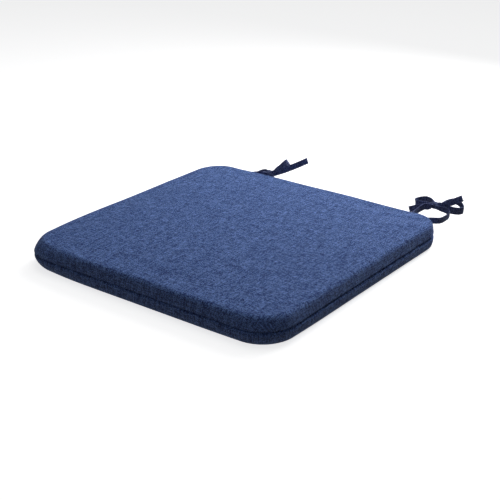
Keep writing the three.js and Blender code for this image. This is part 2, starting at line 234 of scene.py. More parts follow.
@dataclass(frozen=True)
class WovenCloth:
    """Heathered plain weave: slubby yarns of uneven tone that cross over and under one another."""

    name: str
    dark: tuple[float, float, float]
    middle: tuple[float, float, float]
    light: tuple[float, float, float]
    yarn: float = 0.95 * MM
    slub: float = 14 * MM
    contrast: float = 3.2
    fleck: float = 0.85
    relief: float = 0.3 * MM
    sheen: float = 0.14
    sheen_tint: tuple[float, float, float, float] = (0.55, 0.68, 0.95, 1.0)

    def streak(self, g: Graph, number: bpy.types.NodeSocket, along: bpy.types.NodeSocket, step: float,
               length: float, shift: float) -> bpy.types.NodeSocket:
        """Noise that differs from yarn to yarn and changes slowly along each.

        Args:
            g: the material's graph.
            number: the yarn's number, or the place across it, in yarn widths.
            along: the place along the yarn, in yarn widths.
            step: how far the noise moves from one yarn to the next.
            length: how many yarn widths one blob is long.
            shift: makes the two directions differ.

        Returns:
            The noise, 0 to 1.
        """
        at = g.node("CombineXYZ")
        g.feed(at.inputs[0], g.math("MULTIPLY_ADD", number, step, shift))
        g.feed(at.inputs[1], g.math("DIVIDE", along, length))
        g.feed(at.inputs[2], shift * 1.7)
        return g.noise(at.outputs[0], 2.0, 0.65)

    def choose(self, g: Graph, which: bpy.types.NodeSocket, low: bpy.types.NodeSocket,
               high: bpy.types.NodeSocket) -> bpy.types.NodeSocket:
        """Picks one of two values.

        Args:
            g: the material's graph.
            which: 0 for low, 1 for high.
            low: the first value.
            high: the second value.

        Returns:
            The picked value.
        """
        made = g.node("Mix", data_type="FLOAT")
        g.feed(made.inputs["Factor"], which)
        g.feed(made.inputs[2], low)
        g.feed(made.inputs[3], high)
        return made.outputs[0]

    def build(self) -> bpy.types.Material:
        """Makes the material."""
        g = Graph(self.name)
        waver = g.noise(g.cloth(14 * self.yarn, 14 * self.yarn, 5.7), 2.0, 0.5)
        plain = g.split(g.cloth(self.yarn * 0.92, self.yarn * 1.08))
        x = g.math("MULTIPLY_ADD", waver, 0.9, plain[0])
        y = g.math("MULTIPLY_ADD", waver, -0.8, plain[1])
        number_x, number_y = g.math("FLOOR", x), g.math("FLOOR", y)
        over = g.math("FLOORED_MODULO", g.math("ADD", number_x, number_y), 2.0)
        slub = self.slub / self.yarn
        tone = self.choose(g, over, self.streak(g, number_x, y, 1.37, slub, 3.3),
                           self.streak(g, number_y, x, 1.37, slub, 41.9))
        fibre = self.choose(g, over, self.streak(g, x, y, 5.0, 1.6, 7.1),
                            self.streak(g, y, x, 5.0, 1.6, 17.3))
        across_x = g.math("ABSOLUTE", g.math("SINE", g.math("MULTIPLY", x, math.pi)))
        across_y = g.math("ABSOLUTE", g.math("SINE", g.math("MULTIPLY", y, math.pi)))
        ridge_and_gap_shade = g.math("POWER", g.math("MULTIPLY", across_x, across_y), 0.5)
        crossing = g.node("CombineXYZ")
        g.feed(crossing.inputs[0], number_x)
        g.feed(crossing.inputs[1], number_y)
        speck = g.node("TexWhiteNoise", noise_dimensions="2D")
        g.feed(speck.inputs["Vector"], crossing.outputs[0])
        cloud = g.noise(g.cloth(30 * MM, 30 * MM, 3.1), 2.0, 0.5)
        level = g.math("MULTIPLY_ADD", g.math("SUBTRACT", tone, 0.5), self.contrast, 0.56)
        for part, weight in ((speck.outputs["Value"], self.fleck), (cloud, 0.05), (fibre, 1.0)):
            level = g.math("ADD", level, g.math("MULTIPLY_ADD", part, weight, -weight / 2))
        # Painted shade: the base colour is darkened in the gaps between the yarns; the same ridge also drives
        # the bump.
        level = g.math("ADD", level, g.math("MULTIPLY_ADD", ridge_and_gap_shade, 0.75, -0.47))
        g.set(Base_Color=g.ramp(level, [(0.02, self.dark), (0.5, self.middle), (0.98, self.light)]))
        height = g.math("MULTIPLY_ADD", tone, 0.5, g.math("MULTIPLY", ridge_and_gap_shade, 0.8))
        g.bump(g.math("MULTIPLY_ADD", fibre, 0.2, height), self.relief)
        g.set(Roughness=g.math("MULTIPLY_ADD", fibre, 0.12, 0.84))
        g.set(Sheen_Weight=self.sheen, Sheen_Roughness=0.45, Sheen_Tint=self.sheen_tint)
        g.set(Specular_IOR_Level=0.25)
        return g.material


@dataclass(frozen=True)
class MouldedNylon:
    """Semi-gloss nylon with a faint drawn texture."""

    name: str
    colour: tuple[float, float, float]

    def build(self) -> bpy.types.Material:
        """Makes the material."""
        g = Graph(self.name)
        drawn = g.noise(g.solid(0.9 * MM), 3.0, 0.6)
        g.set(Base_Color=g.ramp(drawn, [(0.3, shaded(self.colour, 0.7)), (0.7, shaded(self.colour, 1.3))]))
        g.set(Roughness=g.math("MULTIPLY_ADD", drawn, 0.2, 0.32))
        g.bump(drawn, 0.03 * MM)
        return g.material


@dataclass(frozen=True)
class CastZinc:
    """Satin zinc with a fine cast grain and small worn spots."""

    name: str
    colour: tuple[float, float, float] = (0.44, 0.45, 0.47)

    def build(self) -> bpy.types.Material:
        """Makes the material."""
        g = Graph(self.name)
        grain = g.noise(g.solid(0.35 * MM), 3.0, 0.6)
        wear = g.noise(g.solid(2.4 * MM), 3.0, 0.6)
        dull, worn = shaded(self.colour, 0.75), shaded(self.colour, 1.25)
        g.set(Base_Color=g.ramp(wear, [(0.35, dull), (0.65, worn)]), Metallic=1.0)
        g.set(Roughness=g.math("MULTIPLY_ADD", wear, 0.25, 0.22))
        g.bump(grain, 0.02 * MM)
        return g.material


@dataclass(frozen=True)
class OpenFoam:
    """Cream open-cell foam with small pores."""

    name: str
    colour: tuple[float, float, float] = (0.82, 0.76, 0.58)

    def build(self) -> bpy.types.Material:
        """Makes the material."""
        g = Graph(self.name)
        cells = g.node("TexVoronoi", feature="F1")
        g.feed(cells.inputs["Vector"], g.solid(1.1 * MM))
        g.feed(cells.inputs["Scale"], 1.0)
        pore = cells.outputs["Distance"]
        shade = shaded(self.colour, 0.62)
        g.set(Base_Color=g.ramp(pore, [(0.0, shade), (0.45, self.colour)]), Roughness=0.95)
        g.bump(pore, 0.25 * MM)
        return g.material


@dataclass(frozen=True)
class FibreSheet:
    """White felted fibre."""

    name: str
    colour: tuple[float, float, float] = (0.86, 0.86, 0.84)

    def build(self) -> bpy.types.Material:
        """Makes the material."""
        g = Graph(self.name)
        strands = g.noise(g.cloth(0.6 * MM, 5 * MM), 4.0, 0.7)
        crossing = g.noise(g.cloth(5 * MM, 0.6 * MM, 12.0), 4.0, 0.7)
        felt = g.math("MULTIPLY", g.math("ADD", strands, crossing), 0.5)
        grey = shaded(self.colour, 0.78)
        g.set(Base_Color=g.ramp(felt, [(0.3, grey), (0.65, self.colour)]), Roughness=0.97)
        g.set(Sheen_Weight=0.3)
        g.bump(felt, 0.3 * MM)
        return g.material


@dataclass(frozen=True)
class SatinLabel:
    """Blank white satin ribbon."""

    name: str

    def build(self) -> bpy.types.Material:
        """Makes the material."""
        g = Graph(self.name)
        floats = g.noise(g.cloth(0.25 * MM, 3 * MM), 2.0, 0.5)
        g.set(Base_Color=g.ramp(floats, [(0.3, (0.72, 0.72, 0.7)), (0.7, (0.86, 0.86, 0.84))]))
        g.set(Roughness=0.5)
        g.bump(floats, 0.05 * MM)
        return g.material


@dataclass(frozen=True)
class GripRubber:
    """Matt soft rubber print."""

    name: str
    colour: tuple[float, float, float] = (0.06, 0.064, 0.075)

    def build(self) -> bpy.types.Material:
        """Makes the material."""
        g = Graph(self.name)
        skin = g.noise(g.solid(0.7 * MM), 3.0, 0.6)
        g.set(Base_Color=g.ramp(skin, [(0.35, self.colour), (0.7, shaded(self.colour, 1.9))]))
        g.set(Roughness=g.math("MULTIPLY_ADD", skin, 0.2, 0.5))
        g.bump(skin, 0.04 * MM)
        return g.material


class Finish(Enum):
    """The finishes of the pad, each made once when it is first used."""

    COVER = WovenCloth("cover_weave", rgb(20, 36, 90), rgb(61, 93, 166), rgb(136, 170, 236))
    # The tie cloth is the cover's weave in a darker, greyer tone: painted shade, for ties that hang in shade
    # behind the pad.
    TIE = WovenCloth("tie_weave_painted_shade", rgb(34, 38, 70), rgb(76, 84, 130), rgb(144, 158, 206), yarn=0.65 * MM,
                     slub=5 * MM, contrast=2.2, fleck=0.5, relief=0.15 * MM)
    NONSLIP = WovenCloth("nonslip_weave", rgb(18, 20, 28), rgb(40, 44, 58), rgb(70, 76, 92), yarn=0.8 * MM,
                         slub=5 * MM, contrast=2.0, fleck=0.4, relief=0.2 * MM, sheen=0.1)
    ZIP_TAPE = WovenCloth("zip_tape_weave", rgb(12, 18, 38), rgb(30, 42, 78), rgb(62, 78, 120),
                          yarn=0.45 * MM, slub=3 * MM, contrast=2.0, fleck=0.3, relief=0.12 * MM, sheen=0.1)
    THREAD = WovenCloth("sewing_thread", rgb(14, 20, 42), rgb(40, 56, 104), rgb(90, 110, 170),
                        yarn=0.16 * MM, slub=0.5 * MM, relief=0.05 * MM, sheen=0.2)
    COIL = MouldedNylon("zip_nylon", rgb(34, 46, 84))
    ZINC = CastZinc("zip_zinc")
    FOAM = OpenFoam("open_foam")
    WADDING = FibreSheet("fibre_wadding")
    LABEL = SatinLabel("blank_satin")
    GRIP = GripRubber("grip_dots")

    def material(self) -> bpy.types.Material:
        """The finish's material, made on first use."""
        return bpy.data.materials.get(self.value.name) or self.value.build()


# ---------------------------------------------------------------- mesh helpers


@dataclass
class Build:
    """Vertices, faces and cloth coordinates on their way to becoming one piece."""

    points: list[Vector] = field(default_factory=list)
    faces: list[tuple[int, ...]] = field(default_factory=list)
    maps: list[tuple[tuple[float, float], ...]] = field(default_factory=list)

    def grid(self, rows: np.ndarray, maps: np.ndarray, wrap: bool = False) -> int:
        """Adds a sheet of quads.

        Args:
            rows: points, shaped (rows, columns, 3).
            maps: cloth coordinates, shaped (rows, columns, 2), with one more column if wrapped.
            wrap: joins the last column to the first.

        Returns:
            The index of the first new vertex.
        """
        first = len(self.points)
        count, across = rows.shape[:2]
        self.points.extend(Vector(p) for p in rows.reshape(-1, 3))
        for r in range(count - 1):
            for c in range(across if wrap else across - 1):
                d = (c + 1) % across
                a, b = first + r * across, first + (r + 1) * across
                self.faces.append((a + c, a + d, b + d, b + c))
                corners = ((r, c), (r, c + 1), (r + 1, c + 1), (r + 1, c))
                self.maps.append(tuple(tuple(maps[i, j]) for i, j in corners))
        return first

    def face(self, corners: list[int], maps: list[tuple[float, float]]) -> None:
        """Adds one face.

        Args:
            corners: its vertex indices.
            maps: each corner's cloth coordinates.
        """
        self.faces.append(tuple(corners))
        self.maps.append(tuple(tuple(m) for m in maps))

    def end(self, first: int, count: int, maps: np.ndarray | None = None) -> None:
        """Closes a ring of vertices with one face.

        Args:
            first: the ring's first vertex.
            count: how many vertices it has.
            maps: their cloth coordinates, or None where the face isn't seen.
        """
        self.face([first + i for i in range(count)], [(0, 0)] * count if maps is None else maps[:count])

    def piece(self, name: str, finish: Finish, slot: str) -> bpy.types.Object:
        """Makes the smooth-shaded object.

        Args:
            name: the piece's name.
            finish: its finish.
            slot: the record's material slot; not used.

        Returns:
            The object, linked to the scene.
        """
        mesh = bpy.data.meshes.new(name)
        mesh.from_pydata([tuple(p) for p in self.points], [], self.faces)
        layer = mesh.attributes.new(CLOTH_MAP, "FLOAT_VECTOR", "CORNER")
        flat = [(m[0], m[1], 0.0) for face in self.maps for m in face]
        layer.data.foreach_set("vector", np.array(flat, np.float32).ravel())
        mesh.materials.append(finish.material())
        mesh.polygons.foreach_set("use_smooth", [True] * len(mesh.polygons))
        mesh.update()
        made = bpy.data.objects.new(name, mesh)
        bpy.context.scene.collection.objects.link(made)
        outward(made)
        return made


def outward(piece: bpy.types.Object) -> None:
    """Turns a closed piece's faces to point out."""
    work = bmesh.new()
    work.from_mesh(piece.data)
    bmesh.ops.recalc_face_normals(work, faces=work.faces)
    work.to_mesh(piece.data)
    work.free()


def bake_modifiers(piece: bpy.types.Object) -> None:
    """Replaces a piece's mesh by what its modifiers make of it."""
    graph = bpy.context.evaluated_depsgraph_get()
    made = bpy.data.meshes.new_from_object(piece.evaluated_get(graph))
    piece.modifiers.clear()
    piece.data = made


def thicken(piece: bpy.types.Object, thick: float) -> None:
    """Gives a sheet an inner face, thick metres inside its outer one."""
    made = piece.modifiers.new("thickness", "SOLIDIFY")
    made.thickness = thick
    made.offset = -1.0
    bake_modifiers(piece)


def smooth_steps(keys: np.ndarray, per_span: int) -> np.ndarray:
    """Catmull-Rom points through keys.

    Args:
        keys: shaped (n, values).
        per_span: points to each span.

    Returns:
        The denser rows, the last key included.
    """
    padded = np.vstack([2 * keys[0] - keys[1], keys, 2 * keys[-1] - keys[-2]])
    out = []
    for i in range(1, len(padded) - 2):
        p0, p1, p2, p3 = padded[i - 1:i + 3]
        for t in np.arange(per_span) / per_span:
            out.append(0.5 * (2 * p1 + (p2 - p0) * t + (2 * p0 - 5 * p1 + 4 * p2 - p3) * t * t
                              + (3 * p1 - p0 - 3 * p2 + p3) * t ** 3))
    out.append(padded[-2])
    return np.array(out)


def distances(line: np.ndarray) -> np.ndarray:
    """The distance along a line at each of its points."""
    return np.concatenate([[0], np.cumsum(np.linalg.norm(np.diff(line, axis=0), axis=1))])


def unit(vectors: np.ndarray) -> np.ndarray:
    """Vectors brought to length 1."""
    return vectors / np.linalg.norm(vectors, axis=-1, keepdims=True)


def wrapped(rows: np.ndarray) -> np.ndarray:
    """Closed rows with their first column repeated at the end."""
    return np.concatenate([rows, rows[:, :1]], axis=1)


def sampled(at: list[float], run: np.ndarray, values: np.ndarray) -> np.ndarray:
    """Values along a line, read at other distances.

    Args:
        at: the wanted distances.
        run: the distance of each row of values.
        values: shaped (n, values).

    Returns:
        One row for each wanted distance.
    """
    return np.column_stack([np.interp(at, run, values[:, i]) for i in range(values.shape[1])])


def ripple(at: np.ndarray, cell: float, seed: float) -> np.ndarray:
    """Smooth noise at many points.

    Args:
        at: points, shaped (n, 3).
        cell: the size of one swell, in metres.
        seed: shifts the noise.

    Returns:
        Values from about -1 to 1.
    """
    return np.array([noise.noise(Vector(p) / cell + Vector((seed, seed, seed))) for p in at])


def uneven(rows: np.ndarray, cell: float, seed: float, height: float) -> np.ndarray:
    """Rows with small rises and dips, as foam and cloth have.

    Args:
        rows: points, shaped (rows, columns, 3).
        cell: the size of one swell, in metres.
        seed: shifts the noise.
        height: the largest rise, in metres.

    Returns:
        The moved points.
    """
    out = rows.copy()
    out[..., 2] += (ripple(rows.reshape(-1, 3), cell, seed) * height).reshape(rows.shape[:2])
    return out


# ---------------------------------------------------------------- the pad's soft form


@dataclass
class Crease:
    """A soft fold in the top cloth: a line that the surface dips along."""

    start: tuple[float, float]
    end: tuple[float, float]
    width: float
    depth: float

    def dip(self, at: np.ndarray) -> np.ndarray:
        """How far the surface sinks.

        Args:
            at: points, shaped (n, 3).

        Returns:
            Depths in metres.
        """
        a, b = np.array(self.start), np.array(self.end)
        along = np.clip(((at[:, :2] - a) @ (b - a)) / ((b - a) @ (b - a)), 0, 1)
        near = a + along[:, None] * (b - a)
        away = np.linalg.norm(at[:, :2] - near, axis=1) / self.width
        fade = np.sin(math.pi * (0.15 + 0.85 * along)) ** 0.7
        return self.depth * fade * np.exp(-away ** 2)


@dataclass
class PadForm:
    """The pad's plan and section, which the cover's pieces share. Sizes are in metres."""

    front_corner: float = 47 * MM
    front_close: float = 0.4 * MM
    rear_corner: float = 45 * MM
    step: float = 3.2 * MM
    side_hollow: float = 0.7 * MM
    seam_waver: float = 0.35 * MM
    crown: float = 0.8 * MM
    zip_half: float = 138 * MM
    zip_open: float = 2.2 * MM
    tie_root: float = 152 * MM
    tie_open: float = 0.75 * MM
    front_reach: float = 62 * MM
    front_fade: float = 40 * MM
    corner_depths: tuple[tuple[int, float], ...] = ((-1, 9.5 * MM), (1, 3.0 * MM))
    corner_rim: float = 15 * MM
    corner_reach: float = 55 * MM
    corner_rise: float = 19 * MM
    swells: tuple[tuple[float, float, float], ...] = ((95 * MM, 2.0, 0.55 * MM), (38 * MM, 9.0, 0.22 * MM))
    creases: tuple[Crease, ...] = (
        Crease((0.178, 0.182), (0.060, 0.192), 62 * MM, 1.7 * MM),
        Crease((0.172, 0.176), (0.100, 0.146), 10 * MM, 2.6 * MM),
        Crease((0.150, 0.190), (0.070, 0.170), 8 * MM, 1.7 * MM),
        Crease((-0.150, 0.192), (-0.104, 0.170), 9 * MM, 0.9 * MM),
        Crease((-0.206, -0.205), (-0.194, -0.193), 27 * MM, 5.0 * MM),
        Crease((0.206, -0.205), (0.196, -0.195), 20 * MM, 2.0 * MM),
    )

    def __post_init__(self) -> None:
        """Reads the pad's size from the frame and draws its plan."""
        low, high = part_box("top_panel")
        self.half_x, self.half_y = (high.x - low.x) / 2, (high.y - low.y) / 2
        self.half = np.array([self.half_x, self.half_y])
        self.top = high.z
        self.seam = (low.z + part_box("lower_side_band")[1].z) / 2
        self.plan, self.normal, self.arc, self.length = self.draw_plan()

    def draw_plan(self) -> tuple[np.ndarray, np.ndarray, np.ndarray, float]:
        """Points on the pad's outline, from the middle of the rear edge round to it again.

        Returns:
            The points, the outward normals, the distance along at each point, and the whole length.
        """
        x, y, front, rear = self.half_x, self.half_y, self.front_corner, self.rear_corner
        corners = ((-1, 1, rear, 90), (-1, -1, front, 180), (1, -1, front, 270), (1, 1, rear, 0))
        points, normals = [], []
        rear_middle = last = np.array([0.0, y])
        for side_x, side_y, radius, turn in corners:
            centre = np.array([side_x * (x - radius), side_y * (y - radius)])
            begin = math.radians(turn)
            entry = centre + radius * np.array([math.cos(begin), math.sin(begin)])
            count = max(2, round(np.linalg.norm(entry - last) / self.step))
            for t in np.arange(count) / count:
                points.append(last + (entry - last) * t)
                normals.append((math.cos(begin), math.sin(begin)))
            steps = round(radius * math.pi / 2 / self.step)
            for t in np.arange(steps) / steps:
                angle = begin + t * math.pi / 2
                ray = np.array([math.cos(angle), math.sin(angle)])
                points.append(centre + radius * ray)
                normals.append(tuple(ray))
            end = begin + math.pi / 2
            last = centre + radius * np.array([math.cos(end), math.sin(end)])
        count = round(np.linalg.norm(last - rear_middle) / self.step)
        for t in np.arange(count) / count:
            points.append(last + (rear_middle - last) * t)
            normals.append((0.0, 1.0))
        points, normals = np.array(points), np.array(normals)
        gaps = np.linalg.norm(np.roll(points, -1, 0) - points, axis=1)
        return points, normals, np.concatenate([[0], np.cumsum(gaps)[:-1]]), float(gaps.sum())

    def ring(self, inset: float, z: float) -> np.ndarray:
        """The outline drawn in by inset, at height z."""
        flat = self.plan - self.normal * inset
        return np.column_stack([flat, np.full(len(flat), z)])

    def cap(self, inset: float, z: float, shares: np.ndarray) -> list[np.ndarray]:
        """Rings that shrink from the outline drawn in by inset to the middle.

        Args:
            inset: where the first ring would be.
            z: their height.
            shares: each ring's size against the first.

        Returns:
            One array of points for each share.
        """
        edge = self.plan - self.normal * inset
        return [np.column_stack([edge * share, np.full(len(edge), z)]) for share in shares]

    def soften(self, at: np.ndarray, swell: "Swell") -> np.ndarray:
        """Moves points off the plain form, as foam and hand sewing do.

        Args:
            at: points on the plain form, shaped (n, 3).
            swell: the simulated swelling.

        Returns:
            The moved points.
        """
        out = at + swell.move(at)
        up = np.clip((at[:, 2] - self.seam) / (self.top - self.seam), 0, 1) ** 2
        broad = sum(ripple(at, cell, seed) * height for cell, seed, height in self.swells)
        for crease in self.creases:
            broad -= crease.dip(at)
        out[:, 2] += up * broad
        on_side = np.clip((np.max(np.abs(at[:, :2]) / self.half, axis=1) - 0.9) / 0.1, 0, 1)
        for axis, other in ((0, 1), (1, 0)):
            middle = np.cos(np.clip(at[:, other] / self.half[other], -1, 1) * math.pi / 2)
            beside = np.abs(at[:, axis]) > 0.8 * self.half[axis]
            out[:, axis] -= np.sign(at[:, axis]) * on_side * self.side_hollow * middle * beside
        rise = at[:, 2] - self.seam
        behind = np.clip((at[:, 1] - self.half_y + 10 * MM) / (4 * MM), 0, 1)
        waver = ripple(at * [1, 1, 0], 60 * MM, 5.0) * self.seam_waver * (1 - behind)
        out[:, 2] += waver * np.exp(-(rise / (9 * MM)) ** 2) * on_side
        apart = self.gape(at[:, 0]) * behind
        out[:, 2] += np.sign(rise) * apart * np.exp(-(rise / (6 * MM)) ** 2)
        front = np.clip((-self.half_y + self.front_reach - at[:, 1]) / self.front_fade, 0, 1)
        out[:, 2] -= np.sign(rise) * self.front_close * front * np.exp(-(rise / (4 * MM)) ** 2)
        for side, depth in self.corner_depths:
            out[:, :2] += self.corner_pull(at, side, depth)
        return out

    def soften_rows(self, rows: np.ndarray, swell: "Swell") -> np.ndarray:
        """The same for rows of points, shaped (rows, columns, 3)."""
        return self.soften(rows.reshape(-1, 3), swell).reshape(rows.shape)

    def corner_pull(self, at: np.ndarray, side: int, depth: float) -> np.ndarray:
        """Draws a front corner in above and below its seam, so that its section is round.

        Args:
            at: points on the plain form, shaped (n, 3).
            side: -1 for the left corner, 1 for the right.
            depth: how far the top and bottom edges move in.

        Returns:
            Moves in plan, shaped (n, 2).
        """
        way = np.array([side, -1.0])
        centre = way * (self.half - self.front_corner)
        out = np.maximum((at[:, :2] - centre) * way, 1e-6)
        size = np.linalg.norm(out, axis=1)
        edge = np.clip(1 - (self.front_corner - size) / self.corner_rim, 0, 1)
        apart = np.linalg.norm(at[:, :2] - centre - way * 0.7 * self.front_corner, axis=1)
        rise = np.clip((at[:, 2] - self.seam) / self.corner_rise, -1, 1)
        pull = depth * edge * rise ** 2 * np.exp(-(apart / self.corner_reach) ** 2)
        return -(out / size[:, None]) * way * pull[:, None]

    def gape(self, x: np.ndarray) -> np.ndarray:
        """How far each lip of the rear seam stands off for the zip and for the tie roots.

        Args:
            x: places along the rear edge.

        Returns:
            Half the opening at each.
        """
        zip_end = np.clip((self.zip_half + 2 * MM - np.abs(x)) / (5 * MM), 0, 1)
        zip_share = zip_end * zip_end * (3 - 2 * zip_end)
        root = np.exp(-((np.abs(x) - self.tie_root) / (7.5 * MM)) ** 4)
        return self.zip_open * zip_share + self.tie_open * root


@dataclass
class Swell:
    """How the filled cover swells, found by one short cloth simulation on a coarse copy."""

    form: PadForm
    voxel: float = 6 * MM
    pressure: float = 4.0
    frames: int = 20
    most: float = 5 * MM
    kept: float = 0.26
    neighbours: int = 8
    held_rim: float = 14 * MM

    def __post_init__(self) -> None:
        """Starts with no movement."""
        self.tree: KDTree | None = None
        self.shift = np.zeros((0, 3))

    def coarse(self) -> bpy.types.Object:
        """The closed form without its seam, evenly remeshed."""
        form = self.form
        section = [(18, 37.6), (10, 36.6), (5, 34), (1.5, 28), (0, 21), (0, 15), (1.5, 7), (5, 2.2),
                   (11, 0.4)]
        build = Build()
        rings = form.cap(18 * MM, form.top, np.array([0.001, 0.33, 0.66, 1.0]))
        rings += [form.ring(i * MM, z * MM) for i, z in section[1:]]
        rings += form.cap(11 * MM, 0.0004, np.array([0.66, 0.33, 0.001]))
        rows = np.array(rings)
        build.grid(rows, np.zeros((len(rows), rows.shape[1] + 1, 2)), wrap=True)
        count = rows.shape[1]
        build.end(0, count)
        build.end(len(build.points) - count, count)
        made = build.piece("swell_form", Finish.COVER, "cover_cloth")
        remesh = made.modifiers.new("voxels", "REMESH")
        remesh.mode = "VOXEL"
        remesh.voxel_size = self.voxel
        bake_modifiers(made)
        return made

    def simulate(self) -> None:
        """Runs the cloth and keeps how far each point moved."""
        body = self.coarse()
        rest = np.array([v.co for v in body.data.vertices])
        held = body.vertex_groups.new(name="held")
        edge = np.abs(rest[:, 2] - self.form.seam) < 4 * MM
        outer = (np.abs(rest[:, :2]) > self.form.half - self.held_rim).any(axis=1)
        held.add([int(i) for i in np.nonzero((edge & outer) | (rest[:, 2] < 3 * MM))[0]], 1.0, "REPLACE")
        cloth = body.modifiers.new("filled", "CLOTH")
        cloth.settings.use_pressure = True
        cloth.settings.uniform_pressure_force = self.pressure
        cloth.settings.vertex_group_mass = "held"
        cloth.settings.quality = 5
        cloth.settings.effector_weights.gravity = 0.0
        cloth.collision_settings.use_collision = False
        scene = bpy.context.scene
        for number in range(1, self.frames + 1):
            scene.frame_set(number)
        graph = bpy.context.evaluated_depsgraph_get()
        moved = np.array([v.co for v in body.evaluated_get(graph).data.vertices])
        self.shift = moved - rest
        bpy.data.objects.remove(body)
        scene.frame_set(1)
        lengths = np.linalg.norm(self.shift, axis=1)
        log.info("cloth swelled by up to %.2f mm", lengths.max() / MM)
        self.shift *= self.kept * (np.minimum(lengths, self.most) / np.maximum(lengths, 1e-9))[:, None]
        self.tree = KDTree(len(rest))
        for i, point in enumerate(rest):
            self.tree.insert(point, i)
        self.tree.balance()

    def move(self, at: np.ndarray) -> np.ndarray:
        """The swelling at any points near the form.

        Args:
            at: points, shaped (n, 3).

        Returns:
            Movements in metres.
        """
        if self.tree is None:
            return np.zeros_like(at)
        out = np.zeros_like(at)
        for i, point in enumerate(at):
            found = self.tree.find_n(point, self.neighbours)
            weights = np.array([math.exp(-(d / self.voxel) ** 2) + 1e-6 for _, _, d in found])
            out[i] = (self.shift[[j for _, j, _ in found]] * weights[:, None]).sum(0) / weights.sum()
        return out


# ---------------------------------------------------------------- the cover


